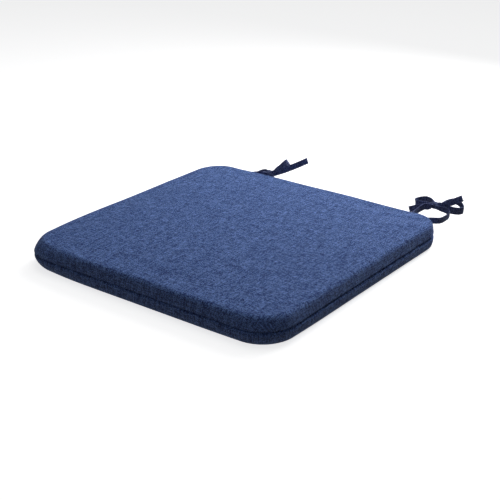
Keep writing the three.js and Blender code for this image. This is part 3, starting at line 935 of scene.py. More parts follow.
@dataclass
class Cover:
    """The two-piece cloth cover, sewn together halfway up the side, and its non-slip base."""

    form: PadForm
    swell: Swell
    cloth: float = 0.9 * MM
    pucker: float = 0.12 * MM
    stitch: float = 3.4 * MM
    cap_edge: float = 24 * MM
    top_section: tuple[tuple[float, float], ...] = (
        (24, 38.0), (18, 38.0), (13, 37.95), (9, 37.8), (6, 37.35), (3.9, 36.5), (2.3, 35.2), (1.2, 33.4),
        (0.5, 31.0), (0.1, 28.0), (-0.15, 25.0), (-0.35, 22.4), (-0.35, 21.2), (0.05, 20.3), (0.9, 19.85),
        (2.4, 19.7), (4.6, 19.6),
    )
    band_section: tuple[tuple[float, float], ...] = (
        (4.6, 18.0), (3.2, 17.9), (2.0, 17.65), (0.9, 17.1), (0.1, 16.2), (-0.4, 14.8), (-0.4, 13.0),
        (-0.2, 10.6), (0.2, 8.0), (1.0, 5.2), (2.4, 2.9), (4.5, 1.3), (7.4, 0.4), (10.4, 0.12), (12.2, 0.45),
        (13.0, 1.2), (13.2, 2.2),
    )
    base_section: tuple[tuple[float, float], ...] = ((13.5, 2.2), (13.7, 1.2), (14.4, 0.6), (15.8, 0.45))
    base_cloth: float = 0.7 * MM
    dot_pitch: float = 8 * MM
    dot_radius: float = 1.8 * MM
    dot_margin: float = 20 * MM
    dot_corner: float = 18 * MM
    dot_dome: tuple[tuple[float, float], ...] = ((1.0, 0.62), (0.92, 0.22), (0.55, 0.02))

    def puckered(self, rows: np.ndarray) -> np.ndarray:
        """Adds the small gathers that a line of stitches pulls into the cloth beside it.

        Args:
            rows: points shaped (rows, columns, 3).

        Returns:
            The gathered points.
        """
        form = self.form
        near = np.exp(-((rows[..., 2] - form.seam) / (2.6 * MM)) ** 2)
        beat = np.sin(2 * math.pi * form.arc / self.stitch + 1.7 * np.sin(form.arc / (31 * MM)))
        push = self.pucker * near * beat[None, :]
        out = rows.copy()
        out[..., :2] += form.normal[None] * push[..., None]
        return out

    def soft_rows(self, rings: list[np.ndarray]) -> np.ndarray:
        """Puts rings through the pucker and the soft form."""
        return self.form.soften_rows(self.puckered(np.array(rings)), self.swell)

    def section_rings(self, section: tuple[tuple[float, float], ...]) -> tuple[list[np.ndarray], np.ndarray]:
        """Rings down a section.

        Args:
            section: (inset, height) keys in millimetres.

        Returns:
            The rings and the distance along the section at each.
        """
        rows = smooth_steps(np.array(section), 2) * MM
        run = distances(rows)
        return [self.form.ring(i, z) for i, z in rows], run

    def planar_map(self, rows: np.ndarray, spread: np.ndarray) -> np.ndarray:
        """Cloth coordinates of a piece cut flat: its plan, let out by spread beyond the cap.

        Args:
            rows: the rings before softening, shaped (rows, columns, 3).
            spread: how far out each row lies, or NaN on the cap.

        Returns:
            Coordinates shaped (rows, columns + 1, 2).
        """
        flat = rows[..., :2].copy()
        for r, out in enumerate(spread):
            if not np.isnan(out):
                flat[r] = self.form.plan - self.form.normal * (self.cap_edge - out)
        return wrapped(flat)

    def round_map(self, run: np.ndarray) -> np.ndarray:
        """Cloth coordinates of a strip: distance round the pad and distance down the strip."""
        around = np.append(self.form.arc, self.form.length)
        return np.stack(np.broadcast_arrays(around[None, :], run[:, None]), axis=-1)

    def top_panel(self) -> bpy.types.Object:
        """The blue top cloth, from the middle over the rolled edge to the seam."""
        form = self.form
        shares = np.concatenate([[0.004, 0.03], np.linspace(0.08, 0.955, 27)])
        cap = form.cap(self.cap_edge, form.top, shares)
        wall, run = self.section_rings(self.top_section)
        rings = np.array(cap + wall)
        spread = np.concatenate([np.full(len(cap), np.nan), run])
        plan = np.linalg.norm(rings[..., :2] / form.half, axis=-1)
        rings[..., 2] += np.clip(1 - plan ** 2, 0, 1) * form.crown
        build = Build()
        build.grid(self.soft_rows(list(rings)), self.planar_map(rings, spread), wrap=True)
        build.end(0, rings.shape[1], rings[0, :, :2])
        made = build.piece("top_panel_cloth", Finish.COVER, "cover_cloth")
        thicken(made, self.cloth)
        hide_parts("top_panel")
        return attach(made, "pad")

    def side_band(self) -> bpy.types.Object:
        """The same cloth below the seam, round the bottom edge to the base seam."""
        rings, run = self.section_rings(self.band_section)
        build = Build()
        build.grid(self.soft_rows(rings), self.round_map(run), wrap=True)
        made = build.piece("lower_side_band_cloth", Finish.COVER, "cover_cloth")
        thicken(made, self.cloth)
        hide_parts("lower_side_band")
        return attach(made, "pad")

    def base(self) -> bpy.types.Object:
        """The flat non-slip cloth, turned up into its seam at the edge."""
        form = self.form
        edge, height = self.base_section[-1]
        section = [form.ring(i * MM, z * MM) for i, z in self.base_section]
        cap = form.cap(edge * MM, height * MM, np.linspace(0.96, 0.01, 30))
        rings = np.array(section + cap)
        flat = rings[..., :2]
        build = Build()
        build.grid(uneven(rings, 30 * MM, 4.0, 0.06 * MM), wrapped(flat), wrap=True)
        count = rings.shape[1]
        build.end(len(build.points) - count, count, flat[-1])
        made = build.piece("bottom_panel_cloth", Finish.NONSLIP, "nonslip_cloth")
        thicken(made, self.base_cloth)
        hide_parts("bottom_panel")
        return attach(made, "pad")

    def dot_places(self) -> list[tuple[float, float]]:
        """Where the grip dots go.

        Returns:
            The middles of a honeycomb that stops short of the edge and of the corners.
        """
        form, pitch = self.form, self.dot_pitch
        reach_x, reach_y = form.half - self.dot_margin
        places = []
        for row in range(int(2 * reach_y / (pitch * 0.866)) + 1):
            y = -reach_y + row * pitch * 0.866
            shift = pitch / 2 if row % 2 else 0.0
            for column in range(int(2 * reach_x / pitch) + 1):
                x = -reach_x + shift + column * pitch
                past = np.maximum(np.abs([x, y]) - (form.half - form.rear_corner), 0)
                if abs(x) <= reach_x and math.hypot(*past) <= form.rear_corner - self.dot_corner:
                    places.append((x, y))
        return places

    def grip_dots(self) -> bpy.types.Object:
        """Small rubber domes printed in a honeycomb on the base cloth."""
        sides = 8
        turns = np.arange(sides) * 2 * math.pi / sides
        circle = np.column_stack([np.cos(turns), np.sin(turns), np.zeros(sides)]) * self.dot_radius
        dome = np.array([circle * share + [0, 0, z * MM] for share, z in self.dot_dome])
        build = Build()
        for x, y in self.dot_places():
            maps = np.full((len(dome), sides + 1, 2), (x, y))
            first = build.grid(dome + [x, y, 0], maps, wrap=True)
            build.end(first, sides, maps[0])
            build.end(len(build.points) - sides, sides, maps[0])
        made = build.piece("bottom_grip_dots", Finish.GRIP, "nonslip_cloth")
        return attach(made, "pad")


@dataclass
class Filling:
    """What the cover holds: the foam slab and the fibre sheet on it."""

    form: PadForm
    swell: Swell
    zip_room: float = 150 * MM
    zip_gap: float = 5.6 * MM

    def foam(self) -> bpy.types.Object:
        """The foam, pressed in where the seam is turned inside."""
        section = ((20, 33.4), (12, 33.0), (7, 31.4), (4, 28.4), (3, 25), (3.4, 22), (6.6, 20), (6.8, 17.6),
                   (3.6, 15.4), (3, 11), (4, 6), (7, 2.9), (12, 1.9), (18, 1.7))
        rows = smooth_steps(np.array(section), 2) * MM
        form = self.form
        rings = form.cap(20 * MM, 33.5 * MM, np.linspace(0.01, 0.97, 22))
        rings += [form.ring(i, z) for i, z in rows]
        rings += form.cap(18 * MM, 1.7 * MM, np.linspace(0.97, 0.01, 22))
        at = np.array(rings)
        by_zip = (at[..., 1] > form.half_y - 9 * MM) & (np.abs(at[..., 0]) < self.zip_room)
        at[by_zip, 1] = np.minimum(at[by_zip, 1], form.half_y - self.zip_gap)
        at = uneven(form.soften_rows(at, self.swell), 26 * MM, 6.0, 0.15 * MM)
        build = Build()
        build.grid(at, wrapped(at[..., :2]), wrap=True)
        count = at.shape[1]
        build.end(0, count)
        build.end(len(build.points) - count, count)
        made = build.piece("foam_slab", Finish.FOAM, "foam")
        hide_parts("foam_core")
        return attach(made, "pad")

    def wadding(self) -> bpy.types.Object:
        """The fibre sheet between the foam and the top cloth."""
        form = self.form
        rings = form.cap(18 * MM, 36.2 * MM, np.concatenate([[0.01], np.linspace(0.06, 1.0, 30)]))
        at = uneven(form.soften_rows(np.array(rings), self.swell), 14 * MM, 3.0, 0.15 * MM)
        build = Build()
        build.grid(at, wrapped(at[..., :2]), wrap=True)
        build.end(0, at.shape[1], at[0, :, :2])
        made = build.piece("fibre_sheet", Finish.WADDING, "wadding")
        thicken(made, 1.9 * MM)
        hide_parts("wadding_sheet")
        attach(made, "pad")
        return made


# ---------------------------------------------------------------- straps and stitches


@dataclass
class Strap:
    """A flat cloth strap. Each key holds its middle, the way its width runs, its width and its thickness."""

    keys: list[tuple[float, ...]]
    per_span: int = 6
    cup: float = 0.04
    hem: float = 0.0
    closed: bool = False

    def rows(self) -> tuple[np.ndarray, np.ndarray, np.ndarray, np.ndarray]:
        """Smooth rows through the keys.

        Returns:
            Middles, width directions, face directions, and (width, thickness), all in metres.
        """
        keys = np.array(self.keys, float)
        if self.closed:
            turned = np.vstack([keys[-2], keys, keys[1]])
            dense = smooth_steps(turned, self.per_span)[self.per_span:-self.per_span]
        else:
            dense = smooth_steps(keys, self.per_span)
        middle = dense[:, :3] * MM
        if self.hem:
            middle, dense = self.hemmed(middle, dense)
        along = unit(np.gradient(middle, axis=0))
        across = unit(dense[:, 3:6] - (dense[:, 3:6] * along).sum(1)[:, None] * along)
        return middle, across, np.cross(along, across), dense[:, 6:8] * MM

    def hemmed(self, middle: np.ndarray, dense: np.ndarray) -> tuple[np.ndarray, np.ndarray]:
        """Doubles the strap's last stretch, as a turned end is.

        Args:
            middle: the rows' middles.
            dense: the rows.

        Returns:
            Both with two more rows at the turn's edge.
        """
        run = distances(middle)
        edge = run[-1] - self.hem
        wanted = np.sort(np.concatenate([run, [edge - 0.15 * MM, edge + 0.15 * MM]]))
        full = sampled(wanted, run, np.column_stack([middle, dense]))
        full[wanted > edge, -1] *= 1.75
        return full[:, :3], full[:, 3:]

    def section(self) -> np.ndarray:
        """The outline across the strap, as shares of half its width and half its thickness."""
        left = [(-1, 0.0), (-0.985, 0.62), (-0.93, 0.95), (-0.8, 1.0), (-0.55, 0.84), (-0.2, 0.8)]
        top = left + [(-a, h) for a, h in reversed(left)]
        bottom = [(a, -h) for a, h in reversed(top[1:-1])]
        return np.array(top + bottom)

    def piece(self, name: str, finish: Finish, slot: str) -> bpy.types.Object:
        """Builds the strap.

        Args:
            name: its name.
            finish: its finish.
            slot: the record's slot.

        Returns:
            The object.
        """
        middle, across, face, size = self.rows()
        shape = self.section()
        bow = self.cup * (1 - shape[:, 0] ** 2)
        out = middle[:, None] + across[:, None] * (shape[None, :, 0, None] * size[:, None, 0:1] / 2)
        lift = shape[None, :, 1] * size[:, 1:2] / 2 + bow[None] * size[:, 0:1]
        out = out + face[:, None] * lift[..., None]
        run = distances(middle)
        girth = np.append(shape[:, 0], shape[0, 0]) * size[0, 0] / 2
        girth[12:-1] += 0.05
        maps = np.stack(np.broadcast_arrays(girth[None], run[:, None]), axis=-1)
        build = Build()
        if self.closed:
            out = np.concatenate([out[:-1], out[:1]])
        first = build.grid(out, maps, wrap=True)
        count = len(shape)
        if not self.closed:
            build.end(first, count, maps[0])
            build.end(len(build.points) - count, count, maps[-1])
        made = build.piece(name, finish, slot)
        if self.closed:
            work = bmesh.new()
            work.from_mesh(made.data)
            bmesh.ops.remove_doubles(work, verts=work.verts, dist=1e-6)
            work.to_mesh(made.data)
            work.free()
        return made


@dataclass
class Stitches:
    """A row of short raised stitches along a line on a surface."""

    length: float = 2.3 * MM
    gap: float = 0.9 * MM
    thick: float = 0.42 * MM

    def piece(self, name: str, lines: list[tuple[np.ndarray, np.ndarray]]) -> bpy.types.Object:
        """Builds the stitches.

        Args:
            name: the piece's name.
            lines: for each row of stitches, its points and the outward direction at each.

        Returns:
            The object.
        """
        build = Build()
        for points, faces in lines:
            run = distances(points)
            pitch = self.length + self.gap
            for k in range(int((run[-1] + self.gap) / pitch)):
                at = [k * pitch + self.length * t for t in (0.0, 0.12, 0.5, 0.88, 1.0)]
                self.stitch(build, sampled(at, run, points), sampled(at, run, faces))
        return build.piece(name, Finish.THREAD, "tie_tape")

    def stitch(self, build: Build, spots: np.ndarray, faced: np.ndarray) -> None:
        """Adds one stitch.

        Args:
            build: what it is added to.
            spots: five points along it.
            faced: the surface's outward direction at each.
        """
        along = unit(spots[-1] - spots[0])
        sides = 6
        angles = np.arange(sides) * 2 * math.pi / sides
        rows = []
        for spot, out, share in zip(spots, faced, (0.3, 0.85, 1.0, 0.85, 0.3)):
            side = unit(np.cross(along, out))
            centre = spot + out * self.thick * (0.32 * share - 0.2)
            ring = np.outer(np.cos(angles), side) + np.outer(np.sin(angles), out)
            rows.append(centre + self.thick / 2 * share * ring)
        rows = np.array(rows)
        maps = np.zeros((len(rows), sides + 1, 2))
        maps[..., 0] = np.arange(sides + 1)[None] * self.thick / 2
        maps[..., 1] = (np.arange(len(rows)) * self.length / 4)[:, None]
        first = build.grid(rows, maps, wrap=True)
        build.end(first, sides, maps[0])
        build.end(len(build.points) - sides, sides, maps[-1])


# ---------------------------------------------------------------- the zip


@dataclass
class Zip:
    """The nylon zip in the rear seam, and the blank label sewn to its lower tape."""

    form: PadForm
    swell: Swell
    half: float = 138 * MM
    back: float = 201.3 * MM
    tape_width: float = 6.4 * MM
    near: float = 0.75 * MM
    pitch: float = 1.5 * MM
    wire: float = 0.2 * MM
    coil_gap: float = 1.42 * MM
    coil_deep: float = 0.5 * MM
    coil_high: float = 0.98 * MM

    def tape(self, name: str, side: int) -> bpy.types.Object:
        """One woven tape.

        Args:
            name: the piece's name.
            side: 1 above the seam, -1 below.

        Returns:
            The tape.
        """
        z = self.form.seam + side * (self.near + self.tape_width / 2)
        y = self.back - 1.0 * MM
        xs = np.linspace(-self.half - 2 * MM, self.half + 2 * MM, 60)
        keys = [(x / MM, y / MM + 0.06 * math.sin(x / (17 * MM)), z / MM, 0, 0, 1, self.tape_width / MM, 0.55)
                for x in xs]
        made = Strap(keys, per_span=2, cup=0.0).piece(name + "_woven", Finish.ZIP_TAPE, "zip_tape")
        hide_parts(name)
        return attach(made, "pad")

    def guard(self) -> bpy.types.Object:
        """The strip sewn in behind the coils, which keeps them off the foam."""
        keys = [(x / MM, 198.2, self.form.seam / MM, 0, 0, 1, 9.0, 0.4)
                for x in np.linspace(-self.half, self.half, 40)]
        made = Strap(keys, per_span=2, cup=0.0).piece("zip_guard_woven", Finish.ZIP_TAPE, "zip_tape")
        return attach(made, "pad")

    def coil(self, name: str, side: int) -> bpy.types.Object:
        """One half of the closure: a nylon wire wound in a flat coil.

        Args:
            name: the piece's name.
            side: 1 above the seam, -1 below.

        Returns:
            The coil.
        """
        centre_z = self.form.seam + side * self.coil_gap
        centre_y = self.back - 0.12 * MM
        reach = self.half - 6 * MM
        turns = int(2 * reach / self.pitch)
        steps = 9
        t = np.arange(turns * steps + 1) / steps
        x = -reach + t * self.pitch + (self.pitch / 2 if side < 0 else 0)
        angle = 2 * math.pi * t
        path = np.column_stack([x, centre_y + self.coil_deep * np.cos(angle),
                                centre_z + self.coil_high * np.sin(angle)])
        along = unit(np.gradient(path, axis=0))
        first_side = unit(np.cross(along, [1.0, 0.0, 0.0]))
        second_side = np.cross(along, first_side)
        sides = 5
        angles = np.arange(sides) * 2 * math.pi / sides
        rows = path[:, None] + self.wire * (first_side[:, None] * np.cos(angles)[None, :, None]
                                            + second_side[:, None] * np.sin(angles)[None, :, None])
        build = Build()
        build.grid(rows, np.zeros((len(rows), sides + 1, 2)), wrap=True)
        build.end(0, sides)
        build.end(len(build.points) - sides, sides)
        made = build.piece(name + "_wound", Finish.COIL, "zip_coil")
        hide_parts(name)
        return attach(made, "pad")

    def metal(self) -> None:
        """Rounds the edges of the slider, the pull and the stops, and gives them their finish."""
        for name in ("zip_slider", "zip_pull", "zip_end_stop", "zip_upper_stop", "zip_lower_stop"):
            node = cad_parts[name]
            node.data.materials.clear()
            node.data.materials.append(Finish.ZINC.material())
            edge = node.modifiers.new("rounded", "BEVEL")
            edge.width = 0.16 * MM
            edge.segments = 2
            edge.limit_method = "ANGLE"

    def sewing(self) -> bpy.types.Object:
        """The rows of stitches that hold the cover's lips to the zip tapes."""
        form, lines = self.form, []
        xs = np.linspace(-self.half - 1 * MM, self.half + 1 * MM, 160)
        for side in (1, -1):
            height = form.seam + side * 3.6 * MM
            plain = np.array([(x, form.half_y, height) for x in xs])
            soft = form.soften(plain, self.swell)
            lines.append((soft, np.tile([0.0, 1.0, 0.0], (len(xs), 1))))
        made = Stitches().piece("zip_stitches", lines)
        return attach(made, "pad")

    def label(self) -> bpy.types.Object:
        """The blank satin label, which hangs inside the cover."""
        low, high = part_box("care_label")
        middle = (low + high) / 2
        keys = []
        for share in np.linspace(0, 1, 7):
            z = high.z + (low.z - high.z) * share
            keys.append((middle.x / MM, (middle.y - 0.5 * MM * share ** 2) / MM, z / MM, 1, 0, 0,
                         (high.x - low.x) / MM, 0.3))
        made = Strap(keys, per_span=3, cup=0.012, hem=2 * MM).piece("blank_label", Finish.LABEL, "label")
        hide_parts("care_label")
        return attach(made, "pad")

    def build(self) -> list[bpy.types.Object]:
        """Builds the zip."""
        self.metal()
        return [self.tape("zip_upper_tape", 1), self.tape("zip_lower_tape", -1),
                self.coil("zip_upper_coil", 1), self.coil("zip_lower_coil", -1),
                self.guard(), self.sewing(), self.label()]


# ---------------------------------------------------------------- the ties


class Side(Enum):
    """Which end of the bow a tail or a loop leaves from."""

    RIGHT = 1
    LEFT = -1


@dataclass(frozen=True)
class Tail:
    """A free end of the bow. Lengths in millimetres, angles in degrees."""

    lift: float
    length: float
    curl: float = 3.0
    turn: float = 12.0


@dataclass(frozen=True)
class Loop:
    """A loop of the bow. Lengths in millimetres, angles in degrees."""

    lift: float
    length: float
    open: float
    arch: float = 3.0


@dataclass
class Bow:
    """A made-up tie: its knot, two tails and two loops, all gathered into the knot."""

    name: str
    knot: tuple[float, float, float]
    tails: dict[Side, Tail]
    loops: dict[Side, Loop]
    knot_half: float = 4.5
    tape: float = 9.0
    loop_tape: float = 10.5
    thick: float = 1.25

    def place(self, rows: list[tuple[float, ...]], side: Side, lift: float) -> list[tuple[float, ...]]:
        """Moves keys from a tail's or a loop's own axes into the row frame.

        Args:
            rows: keys with x out of the knot, y to the rear and z up, from the knot's side.
            side: the side that they leave from.
            lift: how far they rise, in degrees.

        Returns:
            The moved keys.
        """
        turn, out = math.radians(lift), []
        for x, y, z, wx, wy, wz, width, thick in rows:
            px = x * math.cos(turn) - z * math.sin(turn)
            pz = x * math.sin(turn) + z * math.cos(turn)
            dx = wx * math.cos(turn) - wz * math.sin(turn)
            dz = wx * math.sin(turn) + wz * math.cos(turn)
            centre = (self.knot[0] + side.value * (self.knot_half + px), self.knot[1] + y, self.knot[2] + pz)
            out.append((*centre, side.value * dx, wy, dz, width, thick))
        return out

    def bend(self, made: bpy.types.Object) -> bpy.types.Object:
        """Bakes a piece's transform into its mesh.

        Args:
            made: the piece.

        Returns:
            The piece.
        """
        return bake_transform(made)

    def tail(self, side: Side) -> list[bpy.types.Object]:
        """One tail, with a turned and stitched end.

        Args:
            side: the side that it leaves from.

        Returns:
            The ribbon and its stitches.
        """
        shape = self.tails[side]
        word = side.name.lower()
        n, w, t = shape.length, self.tape, self.thick
        lean = math.radians(shape.turn)
        plain = [(-3.5, -2.0, 0.3, 0, 0, 1, 4.6, 2.6), (0.5, -3.6, 0.1, 0, 0.1, 1, 5.4, 2.2),
                 (0.07 * n + 1, -4.6, 0, 0, 0.2, 1, 7.6, 1.5),
                 (0.2 * n, -4.9, 0.02 * shape.curl, 0, 0.16, 1, w, t)]
        for share in (0.4, 0.6, 0.8, 1.0):
            sway = math.sin(share * 4.4) * 0.9
            rise = shape.curl * (share ** 2 - share)
            spin = lean * (share - 0.2)
            plain.append((share * n, -4.9 + sway, rise, 0, math.sin(spin), math.cos(spin), w, t))
        keys = self.place(plain, side, shape.lift)
        node = f"{self.name}_tail_{word}"
        strap = Strap(keys, per_span=6, hem=5.5 * MM)
        made = strap.piece(node + "_ribbon", Finish.TIE, "tie_tape")
        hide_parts(node)
        self.bend(made)
        sewn = self.hem_stitches(strap, node)
        self.bend(sewn)
        return [made, sewn]

    def hem_stitches(self, strap: Strap, node: str) -> bpy.types.Object:
        """The row of stitches across a tail's turned end, on both faces.

        Args:
            strap: the tail.
            node: the tail's CAD node.

        Returns:
            The stitches.
        """
        middle, across, face, size = strap.rows()
        run = distances(middle)
        k = int(np.argmin(np.abs(run - (run[-1] - 4.2 * MM))))
        lines = []
        for way in (1, -1):
            share = np.linspace(-0.8, 0.8, 9)
            bow = strap.cup * (1 - share ** 2) * size[k, 0]
            out = middle[k] + across[k] * (share * size[k, 0] / 2)[:, None]
            out = out + face[k] * (way * 0.43 * size[k, 1] + bow)[:, None]
            lines.append((out, np.tile(face[k] * way, (9, 1))))
        return Stitches(length=1.1 * MM, gap=0.5 * MM, thick=0.36 * MM).piece(node + "_stitches", lines)

    def loop(self, side: Side) -> bpy.types.Object:
        """One loop, out on the near strand and back on the far one.

        Args:
            side: the side that it leaves from.

        Returns:
            The ribbon.
        """
        shape = self.loops[side]
        n, o, arch, t = shape.length, shape.open, shape.arch, self.thick
        w = self.loop_tape
        plain = [
            (-3.5, -0.6, -0.4, 0, 0, 1, 4.6, 2.6), (0.5, -0.6, -0.4, 0, 0.05, 1, 5.6, 2.2),
            (0.12 * n, -0.9, -0.5, 0, 0.12, 1, 7.8, 1.6), (0.36 * n, -0.6, -0.6, 0, 0.2, 1, w, t),
            (0.66 * n, 0.03 * o, -0.6, 0, 0.22, 1, w, t), (0.86 * n, 0.16 * o, -0.3, 0, 0.18, 1, w, t),
            (0.98 * n, 0.4 * o, 0.2, 0, 0.05, 1, w, t), (0.97 * n, 0.68 * o, 0.7, 0, -0.05, 1, w, t),
            (0.82 * n, 0.92 * o, 0.45 * arch + 0.6, 0, -0.2, 1, w, t),
            (0.55 * n, 1.0 * o, arch, 0, -0.28, 1, w, t),
            (0.3 * n, 0.8 * o, 0.9 * arch, 0, -0.25, 1, 0.85 * w, t),
            (0.12 * n, 0.42 * o + 1.2, 0.5 * arch, 0, -0.15, 1, 7.2, 1.7),
            (0.5, 3.9, 0.4, 0, -0.05, 1, 5.4, 2.2), (-3.5, 3.2, 0.2, 0, 0, 1, 4.6, 2.6),
        ]
        keys = self.place(plain, side, shape.lift)
        node = f"{self.name}_loop_{side.name.lower()}"
        made = Strap(keys, per_span=6).piece(node + "_ribbon", Finish.TIE, "tie_tape")
        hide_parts(node)
        return self.bend(made)

    def knot_core(self) -> bpy.types.Object:
        """The bunched cloth inside the knot."""
        x0, y0, z0 = self.knot
        rows, maps = [], []
        lats, lons = 14, 22
        for i in range(lats):
            v = math.pi * (i + 0.5) / lats
            row = []
            for j in range(lons):
                u = 2 * math.pi * j / lons
                crease = 1 + 0.05 * math.sin(3 * u + 2.2 * math.cos(v) + x0) * math.sin(v)
                side_x = math.copysign(abs(math.cos(v)) ** 0.7, math.cos(v))
                ring = math.sin(v) ** 0.6 * crease
                row.append(((x0 + 4.5 * side_x) * MM, (y0 + 5.3 * ring * math.cos(u)) * MM,
                            (z0 + 4.5 * ring * math.sin(u)) * MM))
            rows.append(row)
            maps.append([(i * 0.8 * MM, j * 1.4 * MM) for j in range(lons + 1)])
        build = Build()
        build.grid(np.array(rows), np.array(maps), wrap=True)
        build.end(0, lons)
        build.end(len(build.points) - lons, lons)
        made = build.piece(self.name + "_knot_core", Finish.TIE, "tie_tape")
        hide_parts(self.name + "_knot")
        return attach(made, self.name)

    def knot_wrap(self) -> bpy.types.Object:
        """The turn of tape round the knot, slightly askew, with its edges drawn in."""
        x0, y0, z0 = self.knot
        keys = []
        for k in range(13):
            u = 2 * math.pi * k / 12
            lean = 0.9 * math.cos(u)
            width = 7.0 + 0.7 * math.sin(2 * u + 0.6)
            keys.append((x0 + lean, y0 + 5.75 * math.cos(u), z0 + 4.95 * math.sin(u),
                         1, 0, 0.12 * math.cos(u), width, 1.3))
        strap = Strap(keys, per_span=5, cup=-0.07, closed=True)
        made = strap.piece(self.name + "_knot_wrap", Finish.TIE, "tie_tape")
        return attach(made, self.name)

    def build(self) -> list[bpy.types.Object]:
        """Builds the bow."""
        made = [self.knot_core(), self.knot_wrap()]
        for side in Side:
            made += [*self.tail(side), self.loop(side)]
        return made


@dataclass
class Tie:
    """One of the pad's two ties: two straps sewn into the seam, led round a post and tied in a bow."""

    bow: Bow
    root: float
    inner: tuple[tuple[float, float, float], ...]
    outer: tuple[tuple[float, float, float], ...]
    tape: float = 9.0
    thick: float = 1.25
    seam_z: float = 18.5

    def strand(self, part: str, route: tuple[tuple[float, float, float], ...], start: float,
               level: float) -> bpy.types.Object:
        """One strap, flat in the seam, turned on edge outside it, and gathered into the knot.

        Args:
            part: inner_strand or outer_strand.
            route: the middle of the strap outside the seam, in millimetres.
            start: where it leaves the seam.
            level: how far above the seam's middle it is sewn in.

        Returns:
            The strap.
        """
        z = self.seam_z + level
        way = 1 if route[1][0] > start else -1
        keys = [(start, 197.5, z, way, 0, 0, self.tape, 0.75), (start, 201.2, z, way, 0, 0, self.tape, 0.8),
                (start + 0.6 * way, 204.0, z + 0.1, way, -0.15, 0.3, self.tape, 0.95),
                (start + 3.2 * way, 206.4, z + 0.2, 0.4 * way, -0.2, 0.95, self.tape, self.thick)]
        keys += [(x, y, zz, 0, 0, 1, self.tape, self.thick) for x, y, zz in route[:-2]]
        (x1, y1, z1), (x2, y2, z2) = route[-2:]
        keys += [(x1, y1, z1, 0, 0, 1, 7.4, 1.7), (x2, y2 + 1.2, z2, 0, 0, 1, 5.2, 2.4)]
        node = f"{self.bow.name}_{part}"
        made = Strap(keys, per_span=5).piece(node + "_ribbon", Finish.TIE, "tie_tape")
        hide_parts(node)
        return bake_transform(made)

    def build(self) -> list[bpy.types.Object]:
        """Builds the tie."""
        way = 1 if self.inner[1][0] > self.root else -1
        inner = self.strand("inner_strand", self.inner, self.root + 1.2 * way, 0.45)
        outer = self.strand("outer_strand", self.outer, self.root - 1.2 * way, -0.45)
        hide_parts(self.bow.name + "_root")
        return [inner, outer, *self.bow.build()]


def left_tie() -> Tie:
    """The left tie, drawn up short round its post."""
    bow = Bow("left_tie", (-117, 234.5, 24), {Side.RIGHT: Tail(28.5, 78), Side.LEFT: Tail(-16, 50, -3)},
              {Side.RIGHT: Loop(43, 33, 12.5, 1.5), Side.LEFT: Loop(-24, 30, 12, 2)})
    inner = ((-144, 207.1, 18.5), (-134, 207, 18.5), (-118, 207, 18.5), (-106, 207.2, 20), (-101.4, 210, 21),
             (-101, 217, 22), (-102.4, 223.4, 23), (-108, 226.6, 24), (-115.8, 228.4, 24))
    outer = ((-146.4, 208.6, 18.5), (-142.2, 211.4, 18.7), (-138.8, 215, 19.5), (-136, 221.5, 21),
             (-131, 225.8, 23), (-124, 226.8, 24), (-118.2, 228.4, 24))
    return Tie(bow, -152, inner, outer)


def right_tie() -> Tie:
    """The right tie, whose straps pass each side of its post."""
    bow = Bow("right_tie", (160, 257.5, 27), {Side.RIGHT: Tail(31, 43, 1.5), Side.LEFT: Tail(-20, 38, -3)},
              {Side.RIGHT: Loop(-3, 32.5, 17, 7), Side.LEFT: Loop(-9, 34, 15, 3)})
    inner = ((144.4, 208.2, 18.5), (141.4, 212.4, 19), (140.6, 224, 20), (141.4, 240, 22), (145, 247.2, 25),
             (150, 249.6, 27), (158, 251.6, 27))
    outer = ((161, 207.3, 19.6), (169, 207.2, 21.8), (178, 207.4, 24.4), (185.4, 208.4, 25.6),
             (190, 212.4, 25.8), (191.2, 222, 25.8), (190.6, 234, 26), (187, 243.6, 26.4), (179, 248.8, 27),
             (170, 249.8, 27), (162, 251.6, 27))
    return Tie(bow, 152, inner, outer)


# ---------------------------------------------------------------- the stage


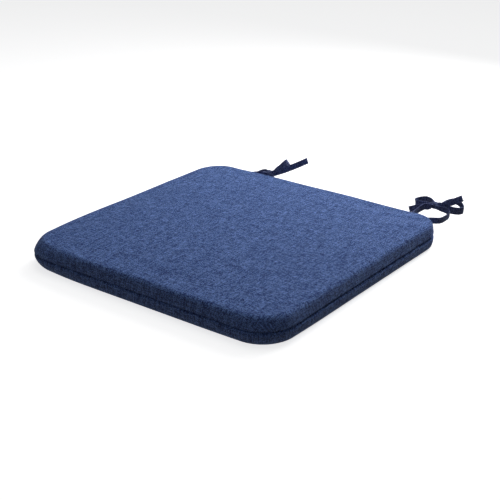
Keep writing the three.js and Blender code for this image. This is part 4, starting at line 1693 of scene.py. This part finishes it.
@dataclass
class Studio:
    """A pale floor, soft lights and the camera."""

    azimuth: float = 37.11
    elevation: float = 23.25
    distance: float = 1.3918
    lens: float = 74.7
    aim_right: float = 0.0165
    aim_up: float = 0.0045
    floor_reach: float = 12.0
    floor_glow: float = 0.76

    def back(self) -> Vector:
        """The direction from the pad to the camera."""
        a, e = math.radians(self.azimuth), math.radians(self.elevation)
        return Vector((math.sin(a) * math.cos(e), -math.cos(a) * math.cos(e), math.sin(e)))

    def camera(self) -> None:
        """Places the camera."""
        data = bpy.data.cameras.new("camera")
        data.lens = self.lens
        data.sensor_width = 36.0
        made = bpy.data.objects.new("camera", data)
        back = self.back()
        right = Vector((math.cos(math.radians(self.azimuth)), math.sin(math.radians(self.azimuth)), 0.0))
        up = back.cross(right)
        made.location = back * self.distance + right * self.aim_right + up * self.aim_up
        made.rotation_mode = "QUATERNION"
        made.rotation_quaternion = (-back).to_track_quat("-Z", "Y")
        bpy.context.scene.collection.objects.link(made)
        bpy.context.scene.camera = made

    def light(self, name: str, at: tuple[float, float, float], size: float, power: float) -> None:
        """Adds a square soft light that faces the pad.

        Args:
            name: the light's name.
            at: its place.
            size: its side, in metres.
            power: in watts.
        """
        data = bpy.data.lights.new(name, "AREA")
        data.size = size
        data.energy = power
        made = bpy.data.objects.new(name, data)
        made.location = at
        made.rotation_mode = "QUATERNION"
        made.rotation_quaternion = (-Vector(at)).to_track_quat("-Z", "Y")
        bpy.context.scene.collection.objects.link(made)

    def floor(self) -> None:
        """Adds the pale floor, just below the pad."""
        mesh = bpy.data.meshes.new("floor")
        reach = self.floor_reach
        mesh.from_pydata([(-reach, -reach, 0), (reach, -reach, 0), (reach, reach, 0), (-reach, reach, 0)], [],
                         [(0, 1, 2, 3)])
        g = Graph("floor_paint")
        g.set(Base_Color=(0.8, 0.8, 0.8, 1.0), Roughness=0.9, Specular_IOR_Level=0.1)
        g.set(Emission_Color=(1.0, 1.0, 1.0, 1.0), Emission_Strength=self.floor_glow)
        mesh.materials.append(g.material)
        made = bpy.data.objects.new("floor", mesh)
        made.location.z = -0.2 * MM
        made.visible_diffuse = False
        bpy.context.scene.collection.objects.link(made)

    def world(self) -> None:
        """Sets a faint, even, slightly blue world."""
        world = bpy.data.worlds.new("world")
        world.use_nodes = True
        sky = world.node_tree.nodes["Background"].inputs
        sky["Color"].default_value = (0.85, 0.9, 1.0, 1.0)
        sky["Strength"].default_value = 0.05
        bpy.context.scene.world = world

    def build(self) -> None:
        """Builds the whole stage."""
        self.camera()
        self.floor()
        self.world()
        self.light("key", (0.05, 0.78, 0.62), 0.9, 7.6)
        self.light("overhead", (-0.1, 0.25, 2.3), 1.8, 11.0)
        self.light("front_fill", (0.4, -2.2, 0.9), 1.6, 1.6)
        bpy.context.scene.view_settings.view_transform = "Standard"


def main() -> None:
    logging.basicConfig(level=logging.INFO, format="%(message)s")
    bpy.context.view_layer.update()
    Studio().build()
    form = PadForm()
    swell = Swell(form)
    swell.simulate()
    cover = Cover(form, swell)
    filling = Filling(form, swell)
    made = [cover.top_panel(), cover.side_band(), cover.base(), cover.grip_dots(), filling.foam(),
            filling.wadding(), *Zip(form, swell).build(), *left_tie().build(), *right_tie().build()]
    for piece in made:
        log.info("%s: %d faces", piece.name, len(piece.data.polygons))


if __name__ == "__main__":
    main()
